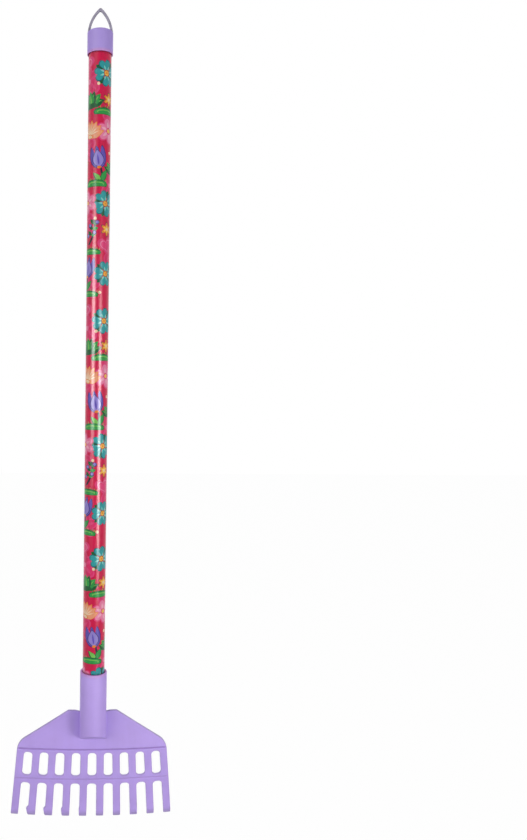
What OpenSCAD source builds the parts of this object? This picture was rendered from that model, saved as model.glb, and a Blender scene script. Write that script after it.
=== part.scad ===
// Toy sand rake: a moulded head and a moulded end cap on a tube that is covered with printed film.
// Lengths are millimetres and angles are degrees. Z is up and the front faces -Y. The origin is
// the point inside the hanging loop where a hook carries the rake.

/* [Handle] */
// Outer diameter of the bare tube
tube_d = 21.5; // [16:0.5:28]
// Wall of the tube
tube_wall = 0.5; // [0.4:0.1:1.2]
// Length of handle that shows between the end cap and the socket
grip_len = 600; // [250:10:900]
// Thickness of the printed film
film_t = 0.25; // [0.15:0.05:0.5]
// Distance from each end of the tube to the end of the film
film_setback = 2; // [0.5:0.5:6]
// Clearance all round between the film and the two mouldings that hold it
seat_clearance = 0.05; // [0.02:0.01:0.2]

/* [End cap] */
// Wall of the end cap round the handle
cap_wall = 1.2; // [1:0.1:3]
// Thickness of the closed top of the end cap
cap_top_t = 1.8; // [1:0.1:4]
// Height of the end cap from its open rim to its top
cap_h = 21; // [12:0.1:40]
// Rounding of the top edge of the end cap
cap_edge_r = 1; // [0.4:0.1:1.6]

/* [Hanging loop] */
// Width of the loop's band, seen from the front
loop_band = 2.3; // [1.6:0.1:4]
// Thickness of the loop from front to back
loop_t = 3; // [2:0.1:6]
// Radius of the two arcs that meet in the loop's point
loop_arc_r = 34; // [30:0.5:60]
// Rounding of the point outside
loop_point_r = 2; // [1:0.1:4]
// Rounding of the point inside, where a hook sits
loop_eye_r = 1.5; // [0.6:0.1:3]
// Distance from the top of the cap down to where the loop leaves its sides
loop_root = 3; // [1:0.1:6]

/* [Socket] */
// Wall of the socket round the handle
socket_wall = 2.3; // [1.6:0.1:4]
// Length of the socket, measured down its front
socket_len = 62.2; // [48:0.1:100]
// Solid floor under the handle, measured at the front
socket_floor = 5; // [3:0.5:12]
// Slope of the socket's lower end, which is higher at the front
socket_end_slope = 30; // [0:1:40]
// Rounding of the socket's rim
socket_rim_r = 0.7; // [0.3:0.1:1.2]

/* [Plate] */
// Thickness of the moulded sheet
sheet_t = 2.8; // [2:0.1:4]
// Distance from the handle's axis back to the front of the plate
plate_setback = 8; // [4:0.5:9]
// Distance from the socket's rim down to the top edge of the plate
plate_drop = 44.7; // [25:0.1:60]
// Height of the plate from its top edge to the fold
plate_h = 41.3; // [36:0.1:70]
// Width of the plate's top edge, between the corners before they are rounded
plate_top_w = 49.4; // [36:0.2:60]
// Rounding of the top corners
plate_top_r = 4; // [2:0.5:8]
// Height that the two sloping shoulders take
shoulder_h = 34.6; // [20:0.1:40]
// Rounding of the lower corners of the shoulders
shoulder_r = 18; // [4:0.5:20]
// Radius of the bow of the whole head, seen from above
bow_r = 615; // [350:1:1500]
// Width of the grooves along the fold and the crease
groove_w = 1.8; // [1:0.1:3]
// Depth of the grooves along the fold and the crease
groove_depth = 0.5; // [0.2:0.1:0.8]

/* [Slotted band] */
// Height of the band from the fold down to the crease
band_h = 32.9; // [20:0.1:50]
// Tilt of the band backwards
band_tilt = 6; // [0:1:20]
// Sheet left between the fold and the slots
slot_top_web = 3.8; // [2:0.1:6]
// Sheet left between the slots and the crease
slot_low_web = 3; // [2:0.1:6]
// Rounding of the corners of slots and gaps
slot_r = 3.4; // [1:0.1:3.6]

/* [Tines] */
// Number of tines
tine_count = 10; // [6:2:14]
// Width of a tine, and of a rib between two slots
tine_w = 7.6; // [5:0.1:8.5]
// Distance between two tines at the fold
tine_pitch = 16.2; // [15.5:0.1:22]
// Distance from the fold up to the point that all tines radiate from
fan_r = 795; // [500:5:2000]
// Height of a tine from the crease to its tip
tine_h = 45.3; // [36:0.1:80]
// Rounding of the corners at the tips, seen from the front
tine_corner_r = 0.9; // [0.4:0.1:1.6]
// Sheet left between the crease and the gaps
gap_web = 5.2; // [3:0.1:8]
// Tilt of the straight part of the tines backwards
tine_tilt = 9; // [4:1:25]
// Further turn of the hooked tips
hook_turn = 34; // [15:1:50]
// Radius of the hooked tips, on their front
hook_r = 18; // [12:0.5:28]
// Thickness of a tine at its tip
tip_t = 2.2; // [1.6:0.1:3]

/* [Ribs behind the plate] */
// Width of a stiffening rib
rib_w = 2; // [1.2:0.1:3]
// Height of a stiffening rib behind the sheet
rib_h = 3; // [1:0.1:5]
// Angle of the steep pair of ribs to the vertical
rib_steep = 38; // [25:1:48]
// Angle of the flat pair of ribs to the vertical
rib_flat = 63; // [55:1:70]
// Distance from the plate's top edge down to where the ribs meet
rib_hub_drop = 8; // [4:0.5:14]
// Distance from the fold up to the rib that runs along it
rib_fold_gap = 1.2; // [0.4:0.1:4]

/* [Fixing screw] */
// Distance from the socket's rim down to the screw
screw_drop = 18; // [12:0.5:30]
// Diameter of the screw's shank
screw_d = 2.9; // [2.2:0.1:4]
// Diameter of the screw's head
screw_head_d = 5.6; // [5:0.1:8]
// Height of the screw's head
screw_head_h = 2; // [1.4:0.1:3]
// Length of shank inside the tube, with its point
screw_reach = 4; // [2:0.5:7]
// Diameter of the flat boss under the head
boss_d = 9; // [8.5:0.1:12]
// Height of the boss behind the socket
boss_h = 0.8; // [0.4:0.1:2]
// Clearance round the shank
screw_clearance = 0.05; // [0.02:0.01:0.2]

/* [Hidden] */

// Sides of a full circle in the preview, and steps of an arc in an outline
$fn = 96;
bow_fn = 720;
arc_steps = 6;
// Overrun of every cut past the surface that it opens
overrun = 1;
// Largest share of a slot's half width, at its narrow end, that its rounded corners take
gap_round_share = 0.9;
// Distance from the tips down to the straight lower end of the outline
tine_end_overrun = 0.2;
// Width of the screw's pointed end, as a share of its diameter
screw_end_share = 0.2;

lilac = [0.66, 0.55, 0.86];
crimson = [0.80, 0.12, 0.32];
steel = [0.75, 0.76, 0.78];
zinc = [0.68, 0.69, 0.72];

// Radii from the handle's axis outwards
tube_r = tube_d / 2;
film_r = tube_r + film_t;
seat_r = film_r + seat_clearance;
cap_r = seat_r + cap_wall;
socket_r = seat_r + socket_wall;

// The loop's sides start on the round of the cap, and its eye is the origin
loop_half_w = sqrt(cap_r * cap_r - loop_t * loop_t / 4);
arc_offset = loop_arc_r - loop_half_w;
eye_arc_r = loop_arc_r - loop_band;
function tip_centre(arc_r, tip_r) = sqrt(pow(arc_r - tip_r, 2) - pow(arc_offset, 2));
loop_spring_z = -loop_eye_r - tip_centre(eye_arc_r, loop_eye_r);

// Heights from the top of the rake down
cap_top_z = loop_spring_z + loop_root;
cap_rim_z = cap_top_z - cap_h;
tube_top_z = cap_top_z - cap_top_t;
socket_rim_z = cap_rim_z - grip_len;
socket_end_z = socket_rim_z - socket_len;
tube_end_z = socket_end_z + socket_floor;
plate_top_z = socket_rim_z - plate_drop;
shoulder_z = plate_top_z - shoulder_h;
fold_z = plate_top_z - plate_h;
crease_z = fold_z - band_h;
tip_z = crease_z - tine_h;

// The tines radiate from a point above the head, and a gap lies between each pair
fan_z = fold_z + fan_r;
fan_step = 2 * atan(tine_pitch / fan_r / 2);
half_step = fan_step / 2;
gap_count = tine_count - 1;
outer_angle = gap_count / 2 * fan_step;

// Half the width of the comb at height z, along the outer edge of the outer tine
function edge_x(z) = (tine_w / 2 + (fan_z - z) * sin(outer_angle)) / cos(outer_angle);

// Side profile of the sheet: depth behind the front of the plate, height, and tilt
hook_end_tilt = tine_tilt + hook_turn;
hook_drop = hook_r * (sin(hook_end_tilt) - sin(tine_tilt));
hook_end_z = tip_z + tip_t / 2 * (1 - sin(hook_end_tilt));
hook_z = hook_end_z + hook_drop;
crease_depth = band_h * tan(band_tilt);
hook_depth = crease_depth + (crease_z - hook_z) * tan(tine_tilt);
tip_depth = hook_depth + hook_r * (cos(tine_tilt) - cos(hook_end_tilt));
function hook_point(tilt) = [hook_depth + hook_r * (cos(tine_tilt) - cos(tilt)),
                             hook_z - hook_r * (sin(tilt) - sin(tine_tilt))];

// Room that the head's solids take from front to back
head_front = plate_setback - socket_r;
head_back = plate_setback + tip_depth + pow(edge_x(tip_z), 2) / bow_r + socket_r;

// Extrudes an outline drawn in x and z from depth y0 to depth y1
module along_y(y0, y1) {
    translate([0, y1, 0]) rotate([90, 0, 0]) linear_extrude(y1 - y0) children();
}

// Turns an outline drawn in depth and height about the far axis that gives the head its bow
module bowed() {
    sweep = asin((edge_x(tip_z) + overrun) / (bow_r - tip_depth - sheet_t));
    translate([0, plate_setback + bow_r, 0]) rotate([0, 0, -90 - sweep])
        rotate_extrude(angle = 2 * sweep, $fn = bow_fn) translate([bow_r, 0]) mirror([1, 0]) children();
}

// Points of an arc of radius r that rounds the corner b between a and c
function unit(v) = v / norm(v);
function corner_arc(a, b, c, r) =
    let (u = unit(a - b), v = unit(c - b), half = acos(u * v) / 2,
         centre = b + unit(u + v) * r / sin(half), from = b + u * r / tan(half) - centre,
         to = b + v * r / tan(half) - centre)
    [for (i = [0:arc_steps]) centre + r * unit(from * (arc_steps - i) + to * i)];

// Outline through points whose third number is the rounding of that corner
module rounded_outline(points) {
    n = len(points);
    flat = [for (p = points) [p.x, p.y]];
    polygon([for (i = [0:n - 1]) each points[i].z > 0
        ? corner_arc(flat[(i + n - 1) % n], flat[i], flat[(i + 1) % n], points[i].z) : [flat[i]]]);
}

// Pointed arch of two arcs with a rounded tip, cut flat at the height where its arcs spring
module ogive(arc_r, tip_r) {
    centre = tip_centre(arc_r, tip_r);
    tangent = centre * arc_r / (arc_r - tip_r);
    translate([0, loop_spring_z]) {
        intersection() {
            translate([-arc_offset, 0]) circle(arc_r);
            translate([arc_offset, 0]) circle(arc_r);
            translate([-arc_r, 0]) square([2 * arc_r, tangent]);
        }
        translate([0, centre]) circle(tip_r);
    }
}

// Half the width of the gap between two tines, at distance s below the fan's point
function gap_half(s) = (s * sin(half_step) - tine_w / 2) / cos(half_step);

// Corner on one side of gap i, where the gap's axis passes height z, with its rounding
function gap_corner(i, z, side) =
    let (turn = (i - (gap_count - 1) / 2) * fan_step, s = (fan_z - z) / cos(turn), x = side * gap_half(s))
    [x * cos(turn) + s * sin(turn), fan_z + x * sin(turn) - s * cos(turn),
     min(slot_r, gap_half(fan_z - fold_z + slot_top_web) * gap_round_share)];

// Corner on one side of tine i, just below its tip, with its rounding
function tine_corner(i, side) =
    let (turn = (i - gap_count / 2) * fan_step, low_z = tip_z - tine_end_overrun,
         s = (fan_z - low_z + side * tine_w / 2 * sin(turn)) / cos(turn))
    [side * tine_w / 2 * cos(turn) + s * sin(turn), low_z, tine_corner_r];

// Slots through the band
module slots() {
    top_z = fold_z - slot_top_web;
    low_z = crease_z + slot_low_web;
    for (i = [0:gap_count - 1])
        rounded_outline([gap_corner(i, top_z, 1), gap_corner(i, low_z, 1),
                         gap_corner(i, low_z, -1), gap_corner(i, top_z, -1)]);
}

// Side profile of the moulded sheet, drawn as depth and height
module sheet_profile() {
    fold_tilt = band_tilt / 2;
    crease_tilt = (band_tilt + tine_tilt) / 2;
    groove_end = groove_w / 2;
    crease = [crease_depth, crease_z];
    hook = [for (i = [0:arc_steps]) tine_tilt + i / arc_steps * hook_turn];
    function out(tilt, t) = t * [cos(tilt), sin(tilt)];
    function along(tilt, s) = s * [sin(tilt), -cos(tilt)];
    front = concat(
        [[0, plate_top_z], [0, fold_z + groove_end],
         [0, fold_z] + out(fold_tilt, groove_depth), [0, fold_z] + along(band_tilt, groove_end),
         crease - along(band_tilt, groove_end), crease + out(crease_tilt, groove_depth),
         crease + along(tine_tilt, groove_end)],
        [for (tilt = hook) hook_point(tilt)]);
    tip = hook_point(hook_end_tilt) + out(hook_end_tilt, tip_t / 2);
    tip_round = [for (i = [1:arc_steps - 1])
        tip - out(hook_end_tilt + i / arc_steps * 180, tip_t / 2)];
    back = concat(
        [for (i = [arc_steps:-1:0]) hook_point(hook[i])
            + out(hook[i], sheet_t + (tip_t - sheet_t) * i / arc_steps)],
        [crease + out(crease_tilt, sheet_t), [0, fold_z] + out(fold_tilt, sheet_t), [sheet_t, plate_top_z]]);
    polygon(concat(front, tip_round, back));
}

// Front outline of the head without its socket and slots, drawn in x and z. It runs down the right
// side, along the tines and the gaps between them, and up the left side.
module head_outline() {
    gap_top_z = crease_z - gap_web;
    shoulder = [edge_x(shoulder_z), shoulder_z, shoulder_r];
    top = [plate_top_w / 2, plate_top_z, plate_top_r];
    rounded_outline(concat(
        [top, shoulder],
        [for (i = [gap_count:-1:1]) each [tine_corner(i, 1), tine_corner(i, -1),
                                          gap_corner(i - 1, gap_top_z, 1), gap_corner(i - 1, gap_top_z, -1)]],
        [tine_corner(0, 1), tine_corner(0, -1),
         [-shoulder.x, shoulder.y, shoulder.z], [-top.x, top.y, top.z]]));
}

// Stiffening ribs behind the plate: one along the fold, and two pairs from the back of the socket
module rib_outline() {
    rib_end = edge_x(fold_z) - shoulder_r / 2;
    rib_z = fold_z + rib_fold_gap;
    hub_z = plate_top_z - rib_hub_drop;
    translate([-rib_end, rib_z]) square([2 * rib_end, rib_w]);
    for (m = [-1, 1], angle = [rib_steep, rib_flat]) {
        rib_len = (hub_z - rib_z - rib_w / 2) / cos(angle);
        translate([0, hub_z]) rotate(m * angle) translate([-rib_w / 2, -rib_len]) square([rib_w, rib_len]);
    }
}

// Bowed sheet with its slots, its gaps and the ribs behind it
module comb_plate() {
    intersection() {
        bowed() sheet_profile();
        along_y(head_front, head_back) difference() {
            head_outline();
            slots();
        }
    }
    intersection() {
        bowed() translate([sheet_t / 2, fold_z]) square([sheet_t / 2 + rib_h, plate_h]);
        along_y(head_front, head_back) rib_outline();
    }
}

// Round socket whose lower end is cut at a slope
module socket_body() {
    end_drop = 2 * socket_r * tan(socket_end_slope);
    body_h = socket_len + end_drop;
    intersection() {
        translate([0, 0, socket_end_z - end_drop]) rotate_extrude() {
            square([socket_r, body_h - socket_rim_r]);
            square([socket_r - socket_rim_r, body_h]);
            translate([socket_r - socket_rim_r, body_h - socket_rim_r]) circle(socket_rim_r);
        }
        translate([-socket_r, 0, 0]) rotate([90, 0, 90]) linear_extrude(2 * socket_r)
            polygon([[-socket_r, socket_rim_z], [-socket_r, socket_end_z],
                     [socket_r, socket_end_z - end_drop], [socket_r, socket_rim_z]]);
    }
}

// Where the screw's head seats, behind the socket
screw_z = socket_rim_z - screw_drop;
screw_seat_y = socket_r + boss_h;
screw_tip_y = tube_r - tube_wall - screw_reach;
screw_hole_r = screw_d / 2 + screw_clearance;

// Hole for the shank through whatever it passes, from the boss to the handle's axis
module screw_hole() {
    translate([0, screw_seat_y + overrun, screw_z]) rotate([90, 0, 0])
        cylinder(r = screw_hole_r, h = screw_seat_y + overrun);
}

module rake_head() color(lilac) {
    difference() {
        union() {
            comb_plate();
            socket_body();
            translate([0, screw_seat_y, screw_z]) rotate([90, 0, 0])
                cylinder(d = boss_d, h = screw_seat_y - seat_r);
        }
        translate([0, 0, tube_end_z]) cylinder(r = seat_r, h = socket_len);
        screw_hole();
    }
}

module handle_tube() color(steel) {
    difference() {
        translate([0, 0, tube_end_z]) cylinder(r = tube_r, h = tube_top_z - tube_end_z);
        translate([0, 0, tube_end_z - overrun])
            cylinder(r = tube_r - tube_wall, h = tube_top_z - tube_end_z + 2 * overrun);
        screw_hole();
    }
}

module printed_sleeve() color(crimson) {
    film_z = tube_end_z + film_setback;
    film_len = tube_top_z - film_setback - film_z;
    difference() {
        translate([0, 0, film_z]) cylinder(r = film_r, h = film_len);
        translate([0, 0, film_z - overrun]) cylinder(r = tube_r, h = film_len + 2 * overrun);
        screw_hole();
    }
}

module end_cap() color(lilac) {
    difference() {
        union() {
            translate([0, 0, cap_rim_z]) rotate_extrude() {
                square([cap_r, cap_h - cap_edge_r]);
                square([cap_r - cap_edge_r, cap_h]);
                translate([cap_r - cap_edge_r, cap_h - cap_edge_r]) circle(cap_edge_r);
            }
            along_y(-loop_t / 2, loop_t / 2) difference() {
                ogive(loop_arc_r, loop_point_r);
                intersection() {
                    ogive(eye_arc_r, loop_eye_r);
                    translate([-cap_r, cap_top_z]) square([2 * cap_r, -cap_top_z]);
                }
            }
        }
        translate([0, 0, cap_rim_z - overrun]) cylinder(r = seat_r, h = cap_h - cap_top_t + overrun);
    }
}

module fixing_screw() color(zinc) {
    shank_len = screw_seat_y - screw_tip_y;
    point_len = screw_d;
    dome_r = (pow(screw_head_d / 2, 2) + pow(screw_head_h, 2)) / 2 / screw_head_h;
    translate([0, screw_seat_y, screw_z]) rotate([90, 0, 0]) {
        cylinder(d = screw_d, h = shank_len - point_len);
        translate([0, 0, shank_len - point_len])
            cylinder(d1 = screw_d, d2 = screw_d * screw_end_share, h = point_len);
        intersection() {
            translate([0, 0, -screw_head_h]) cylinder(d = screw_head_d, h = screw_head_h);
            translate([0, 0, dome_r - screw_head_h]) sphere(dome_r);
        }
    }
}

rake_head();
handle_tube();
printed_sleeve();
end_cap();
fixing_screw();
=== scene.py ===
# %% [markdown]
# # A child's sand rake
#
# The real rake is two lilac mouldings on a thin metal tube: a head with a slotted band and hooked
# tines at the bottom, and a cap with a hanging loop at the top. A glossy printed film is shrunk over
# the tube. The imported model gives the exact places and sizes, and every piece below is built round it.

import bmesh
import bpy
import numpy as np
from mathutils import Matrix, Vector
from mathutils.geometry import delaunay_2d_cdt


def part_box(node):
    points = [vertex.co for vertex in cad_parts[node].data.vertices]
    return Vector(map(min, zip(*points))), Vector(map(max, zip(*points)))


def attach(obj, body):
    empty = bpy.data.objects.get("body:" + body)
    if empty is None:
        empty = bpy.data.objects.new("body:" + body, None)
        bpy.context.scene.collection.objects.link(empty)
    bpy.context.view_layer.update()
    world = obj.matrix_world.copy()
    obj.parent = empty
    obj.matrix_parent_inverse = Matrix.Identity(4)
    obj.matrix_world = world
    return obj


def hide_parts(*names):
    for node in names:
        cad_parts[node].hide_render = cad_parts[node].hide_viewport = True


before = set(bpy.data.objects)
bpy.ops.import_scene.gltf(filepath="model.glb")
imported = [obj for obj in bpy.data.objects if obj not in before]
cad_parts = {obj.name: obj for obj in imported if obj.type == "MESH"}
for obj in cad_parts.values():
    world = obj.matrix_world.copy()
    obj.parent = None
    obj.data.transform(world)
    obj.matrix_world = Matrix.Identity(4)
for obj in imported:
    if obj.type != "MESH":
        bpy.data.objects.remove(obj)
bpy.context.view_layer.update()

print("nodes:", sorted(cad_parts))

# %% [markdown]
# ## Sizes
#
# All lengths are millimetres until a mesh is made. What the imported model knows, such as a radius or
# the height of a rim, is read from the boxes of its nodes, so that a piece can't drift away from the
# solid that it dresses. The rest are the sizes of the mouldings, and come with each piece.

# %% Read the sizes of the nodes
MM = 0.001


def node_box(node):
    """Lowest and highest corner of a node, in millimetres."""
    low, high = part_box(node)
    return np.array(low) / MM, np.array(high) / MM


head_low, head_high = node_box("rake_head")
cap_low, cap_high = node_box("end_cap")
film_low, film_high = node_box("printed_sleeve")
screw_low, screw_high = node_box("fixing_screw")

socket_r, socket_rim_z, tip_z = -head_low[1], head_high[2], head_low[2]
cap_r, cap_rim_z = cap_high[0], cap_low[2]
film_r, tube_r = film_high[0], node_box("handle_tube")[1][0]
seat_gap = 0.05
seat_r = film_r + seat_gap
print("socket %.2f, cap %.2f, film %.2f mm in radius" % (socket_r, cap_r, film_r))

# %% [markdown]
# ## Helpers for meshes
#
# Most pieces here are tubes of some kind: a ring of points is carried along and changes on its way.
# So each is worked out with numpy as an array of rings, all points at once. One helper gives the faces
# between the rings, and another turns a profile round the handle's axis, as a potter's wheel does.


# %% Rings and turned shapes
def unit(v):
    """Vectors of length one along the last axis."""
    return v / np.linalg.norm(v, axis=-1, keepdims=True)


def smooth_step(low, high, x):
    """Rises from 0 at low to 1 at high along 3t^2 - 2t^3."""
    t = np.clip((x - low) / (high - low), 0, 1)
    return t * t * (3 - 2 * t)


def ring_faces(rings, points, close_rings=False):
    """Quads between neighbouring points of closed rings that are stored one after the other. The last
    ring may be joined to the first."""
    r = np.arange(rings if close_rings else rings - 1)
    r, p = np.meshgrid(r, np.arange(points), indexing="ij")
    r1, p1 = (r + 1) % rings, (p + 1) % points
    quads = np.stack([r * points + p, r * points + p1, r1 * points + p1, r1 * points + p], -1)
    return quads.reshape(-1, 4)


def turned(profile, points):
    """Rings of a profile of (radius, height) points turned round Z: x = r sin a, y = -r cos a."""
    a = np.linspace(0, 2 * np.pi, points, endpoint=False)
    r, z = profile[:, :1], profile[:, 1:]
    return np.stack([r * np.sin(a), -r * np.cos(a), z + 0 * a], -1)


print("a turned line of 2 points and 8 steps has", len(ring_faces(2, 8)), "faces")

# %% [markdown]
# A piece is made in one call from its arrays. Where a profile starts or ends on the axis, a whole ring
# lies on one point. Merging such doubles closes the shape there, and all faces can then be turned
# outwards. The helper counts the edges that stay open, because a moulding has none.

# %% Pieces
merge_gap = 0.0005


def add_piece(name, points, face_sets, material, merge=merge_gap, face_inks=None):
    """Makes a smooth piece from points in millimetres and arrays of faces. Points nearer than merge
    become one, the faces turn outwards, and each face may keep a colour of its own, its ink."""
    mesh = bpy.data.meshes.new(name)
    faces = [face for face_set in face_sets for face in face_set.tolist()]
    mesh.from_pydata((points * MM).tolist(), [], faces)
    if face_inks is not None:
        ink = mesh.attributes.new("ink", "FLOAT_COLOR", "FACE")
        ink.data.foreach_set("color", face_inks.astype(np.float32).ravel())
    shape = bmesh.new()
    shape.from_mesh(mesh)
    bmesh.ops.remove_doubles(shape, verts=shape.verts, dist=merge * MM)
    bmesh.ops.dissolve_degenerate(shape, edges=shape.edges, dist=merge * MM)
    loose = [edge for edge in shape.edges if edge.is_wire]
    bmesh.ops.delete(shape, geom=loose, context="EDGES")
    bmesh.ops.recalc_face_normals(shape, faces=shape.faces)
    opened = sum(len(edge.link_faces) != 2 for edge in shape.edges)
    shape.to_mesh(mesh)
    shape.free()
    mesh.polygons.foreach_set("use_smooth", np.ones(len(mesh.polygons), bool))
    mesh.materials.append(material)
    piece = bpy.data.objects.new(name, mesh)
    bpy.context.scene.collection.objects.link(piece)
    counts = (name, len(mesh.vertices), len(mesh.polygons), opened)
    print("%s: %d points, %d faces, %d open edges" % counts)
    return piece


def add_rings(name, rings, material, close_rings=False, end_faces=False, merge=merge_gap):
    """Piece from an array of rings, (ring, point, xyz). The first and the last ring may be joined to
    each other, or each closed by one face."""
    count, points, _ = rings.shape
    face_sets = [ring_faces(count, points, close_rings)]
    if end_faces:
        first = np.arange(points)[None]
        face_sets += [first[:, ::-1], first + (count - 1) * points]
    return add_piece(name, rings.reshape(-1, 3), face_sets, material, merge)


print("points nearer than %g mm become one" % merge_gap)

# %% [markdown]
# ## Camera
#
# The camera stands in front of the rake, level with the middle of its handle. The rake is at the left
# of the picture, so the lens is shifted instead of the camera turned, which would lean the handle.
# Its place and its three small turns were found by matching edges of the rake to the photograph.

# %% Camera
image_w, image_h = 527, 840
optical_axis_x = 90.5
focal_px = 760.5
sensor_mm = 36
camera_place = np.array([-34.17, -744.41, -340.44])
camera_yaw, camera_pitch, camera_roll = np.radians([2.197, 3.680, 0.588])

ahead = np.array([np.sin(camera_yaw) * np.cos(camera_pitch),
                  np.cos(camera_yaw) * np.cos(camera_pitch), -np.sin(camera_pitch)])
level = np.array([np.cos(camera_yaw), -np.sin(camera_yaw), 0])
upward = np.cross(level, ahead)
right = np.cos(camera_roll) * level + np.sin(camera_roll) * upward
top = np.cross(right, ahead)

camera_data = bpy.data.cameras.new("camera")
camera_data.sensor_width = sensor_mm
camera_data.lens = sensor_mm * focal_px / image_h
camera_data.shift_x = (image_w / 2 - optical_axis_x) / image_h
camera = bpy.data.objects.new("camera", camera_data)
bpy.context.scene.collection.objects.link(camera)
pose = np.eye(4)
pose[:3, :3] = np.stack([right, top, -ahead], 1)
pose[:3, 3] = camera_place * MM
camera.matrix_world = Matrix(pose)
bpy.context.scene.camera = camera
print("lens %.2f mm, shift %.3f" % (camera_data.lens, camera_data.shift_x))

# %% [markdown]
# ## Helpers for materials
#
# A material is a tree of nodes, and building one node by node takes many lines. These short helpers
# add a node and set or link its inputs, so that each finish further down reads as a list of what it is
# made of. Colours are written as they look on screen, and turned into linear light.


# %% Colours and single nodes
def paint_colour(red, green, blue):
    """Linear colour of a colour as it looks on screen: c / 12.92 or ((c + 0.055) / 1.055)^2.4."""
    c = np.array([red, green, blue]) / 255
    linear = np.where(c <= 0.04045, c / 12.92, ((c + 0.055) / 1.055) ** 2.4)
    return (*linear.tolist(), 1.0)


def connect(tree, value, socket):
    """Links a value that is another node's socket, or else sets it as a constant."""
    if isinstance(value, bpy.types.NodeSocket):
        tree.links.new(value, socket)
    else:
        socket.default_value = value


def feed(tree, node, **inputs):
    """Connects values to a node's inputs by their names, with _ for a blank."""
    for name, value in inputs.items():
        connect(tree, value, node.inputs[name.replace("_", " ")])


def add_node(tree, kind, *values, operation=None, **inputs):
    """Adds a node and connects values to its inputs, in their order or by name."""
    node = tree.nodes.new(kind)
    if operation:
        node.operation = operation
    for value, socket in zip(values, node.inputs):
        connect(tree, value, socket)
    feed(tree, node, **inputs)
    return node


print("middle grey is", np.round(paint_colour(128, 128, 128)[0], 3), "in linear light")

# %% [markdown]
# The same few nodes come up in every finish. Noise is the most useful of them: drawn out along the
# height it makes streaks, and its usual range can be moved to that of a tone or a roughness. Patterns
# read the object's own coordinates, so that they stay where they are on the piece.

# %% Nodes that come up often
noise_low, noise_high = 0.3, 0.7


def maths(tree, operation, *values):
    """Result of a Math node."""
    return add_node(tree, "ShaderNodeMath", *values, operation=operation).outputs[0]


def scaled(tree, colour, factor):
    """A colour times a factor."""
    return add_node(tree, "ShaderNodeVectorMath", colour, operation="SCALE", Scale=factor).outputs[0]


def mix_colour(tree, blend, factor, first, second):
    """Result of mixing two colours. A colour Mix node has them at its inputs 6 and 7."""
    node = tree.nodes.new("ShaderNodeMix")
    node.data_type = "RGBA"
    node.blend_type = blend
    for index, value in ((0, factor), (6, first), (7, second)):
        connect(tree, value, node.inputs[index])
    return node.outputs[2]


def remapped(tree, value, low, high, to_low, to_high):
    """A value from low to high, clamped and moved to the range from to_low to to_high."""
    return add_node(tree, "ShaderNodeMapRange", Value=value, From_Min=low, From_Max=high,
                    To_Min=to_low, To_Max=to_high).outputs["Result"]


def varied(tree, field, low, high):
    """A noise, most of which lies between noise_low and noise_high, moved to a range of its own."""
    return remapped(tree, field, noise_low, noise_high, low, high)


def object_place(tree):
    """Place of a point in the object's own coordinates, in metres."""
    return tree.nodes.new("ShaderNodeTexCoord").outputs["Object"]


def height_of(tree, place):
    """Height of a place."""
    return add_node(tree, "ShaderNodeSeparateXYZ", Vector=place).outputs["Z"]


def noise(tree, place, scale, detail, along_z=1.0, roughness=0.5):
    """Noise with so many waves in a metre, and along_z times as many in a metre of height."""
    if along_z != 1.0:
        place = add_node(tree, "ShaderNodeMapping", Vector=place, Scale=(1.0, 1.0, along_z)).outputs[0]
    return add_node(tree, "ShaderNodeTexNoise", Vector=place, Scale=scale, Detail=detail,
                    Roughness=roughness).outputs["Fac"]


def attribute(tree, name):
    """Outputs of what the mesh stores under a name: Fac as a number, Color as a colour. Both are 0
    where a mesh stores nothing under it."""
    node = tree.nodes.new("ShaderNodeAttribute")
    node.attribute_name = name
    return node.outputs


print("noise is read from", noise_low, "to", noise_high)

# %% [markdown]
# An effect that several materials share is a node group: a box of nodes with named inputs, built once
# and placed in each material with its own values. The Principled shader stays outside of it, in the
# material itself, and what is the same all over a surface is set on that shader.

# %% Groups and materials
FLOAT, COLOUR = "NodeSocketFloat", "NodeSocketColor"


def new_group(name, inputs, outputs):
    """Node group whose inputs are given by their start values, and its outputs by their kinds."""
    group = bpy.data.node_groups.new(name, "ShaderNodeTree")
    for label, value in inputs.items():
        kind = COLOUR if isinstance(value, tuple) else FLOAT
        group.interface.new_socket(label, in_out="INPUT", socket_type=kind).default_value = value
    for label, kind in outputs.items():
        group.interface.new_socket(label, in_out="OUTPUT", socket_type=kind)
    return group, group.nodes.new("NodeGroupInput").outputs, group.nodes.new("NodeGroupOutput")


def use_group(tree, group, **inputs):
    """Outputs of a node group that is placed in a tree."""
    node = tree.nodes.new("ShaderNodeGroup")
    node.node_tree = group
    feed(tree, node, **inputs)
    return node.outputs


def new_material(name, **constants):
    """Material with a Principled shader whose constants are set on its own sockets."""
    material = bpy.data.materials.new(name)
    material.use_nodes = True
    tree = material.node_tree
    tree.nodes.clear()
    shader = add_node(tree, "ShaderNodeBsdfPrincipled", **constants)
    add_node(tree, "ShaderNodeOutputMaterial", shader.outputs[0])
    return material, tree, shader


print("groups take", FLOAT, "and", COLOUR)

# %% [markdown]
# ## Studio
#
# The photograph has a white background and soft light. The key lamp at the right of the camera throws
# the soft shadow that the socket leaves on the plate. Two other lamps show in glossy surfaces only, and
# make the two bright streaks along the handle: a streak lies where the surface faces halfway between
# the camera and the lamp. The rest fill in from the left, the right and behind.


# %% Lamps
def direction(azimuth, elevation):
    """Direction seen from the rake: azimuth 0 is the camera's side, positive is to the right."""
    a, e = np.radians([azimuth, elevation])
    return np.array([np.sin(a) * np.cos(e), -np.cos(a) * np.cos(e), np.sin(e)])


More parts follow.
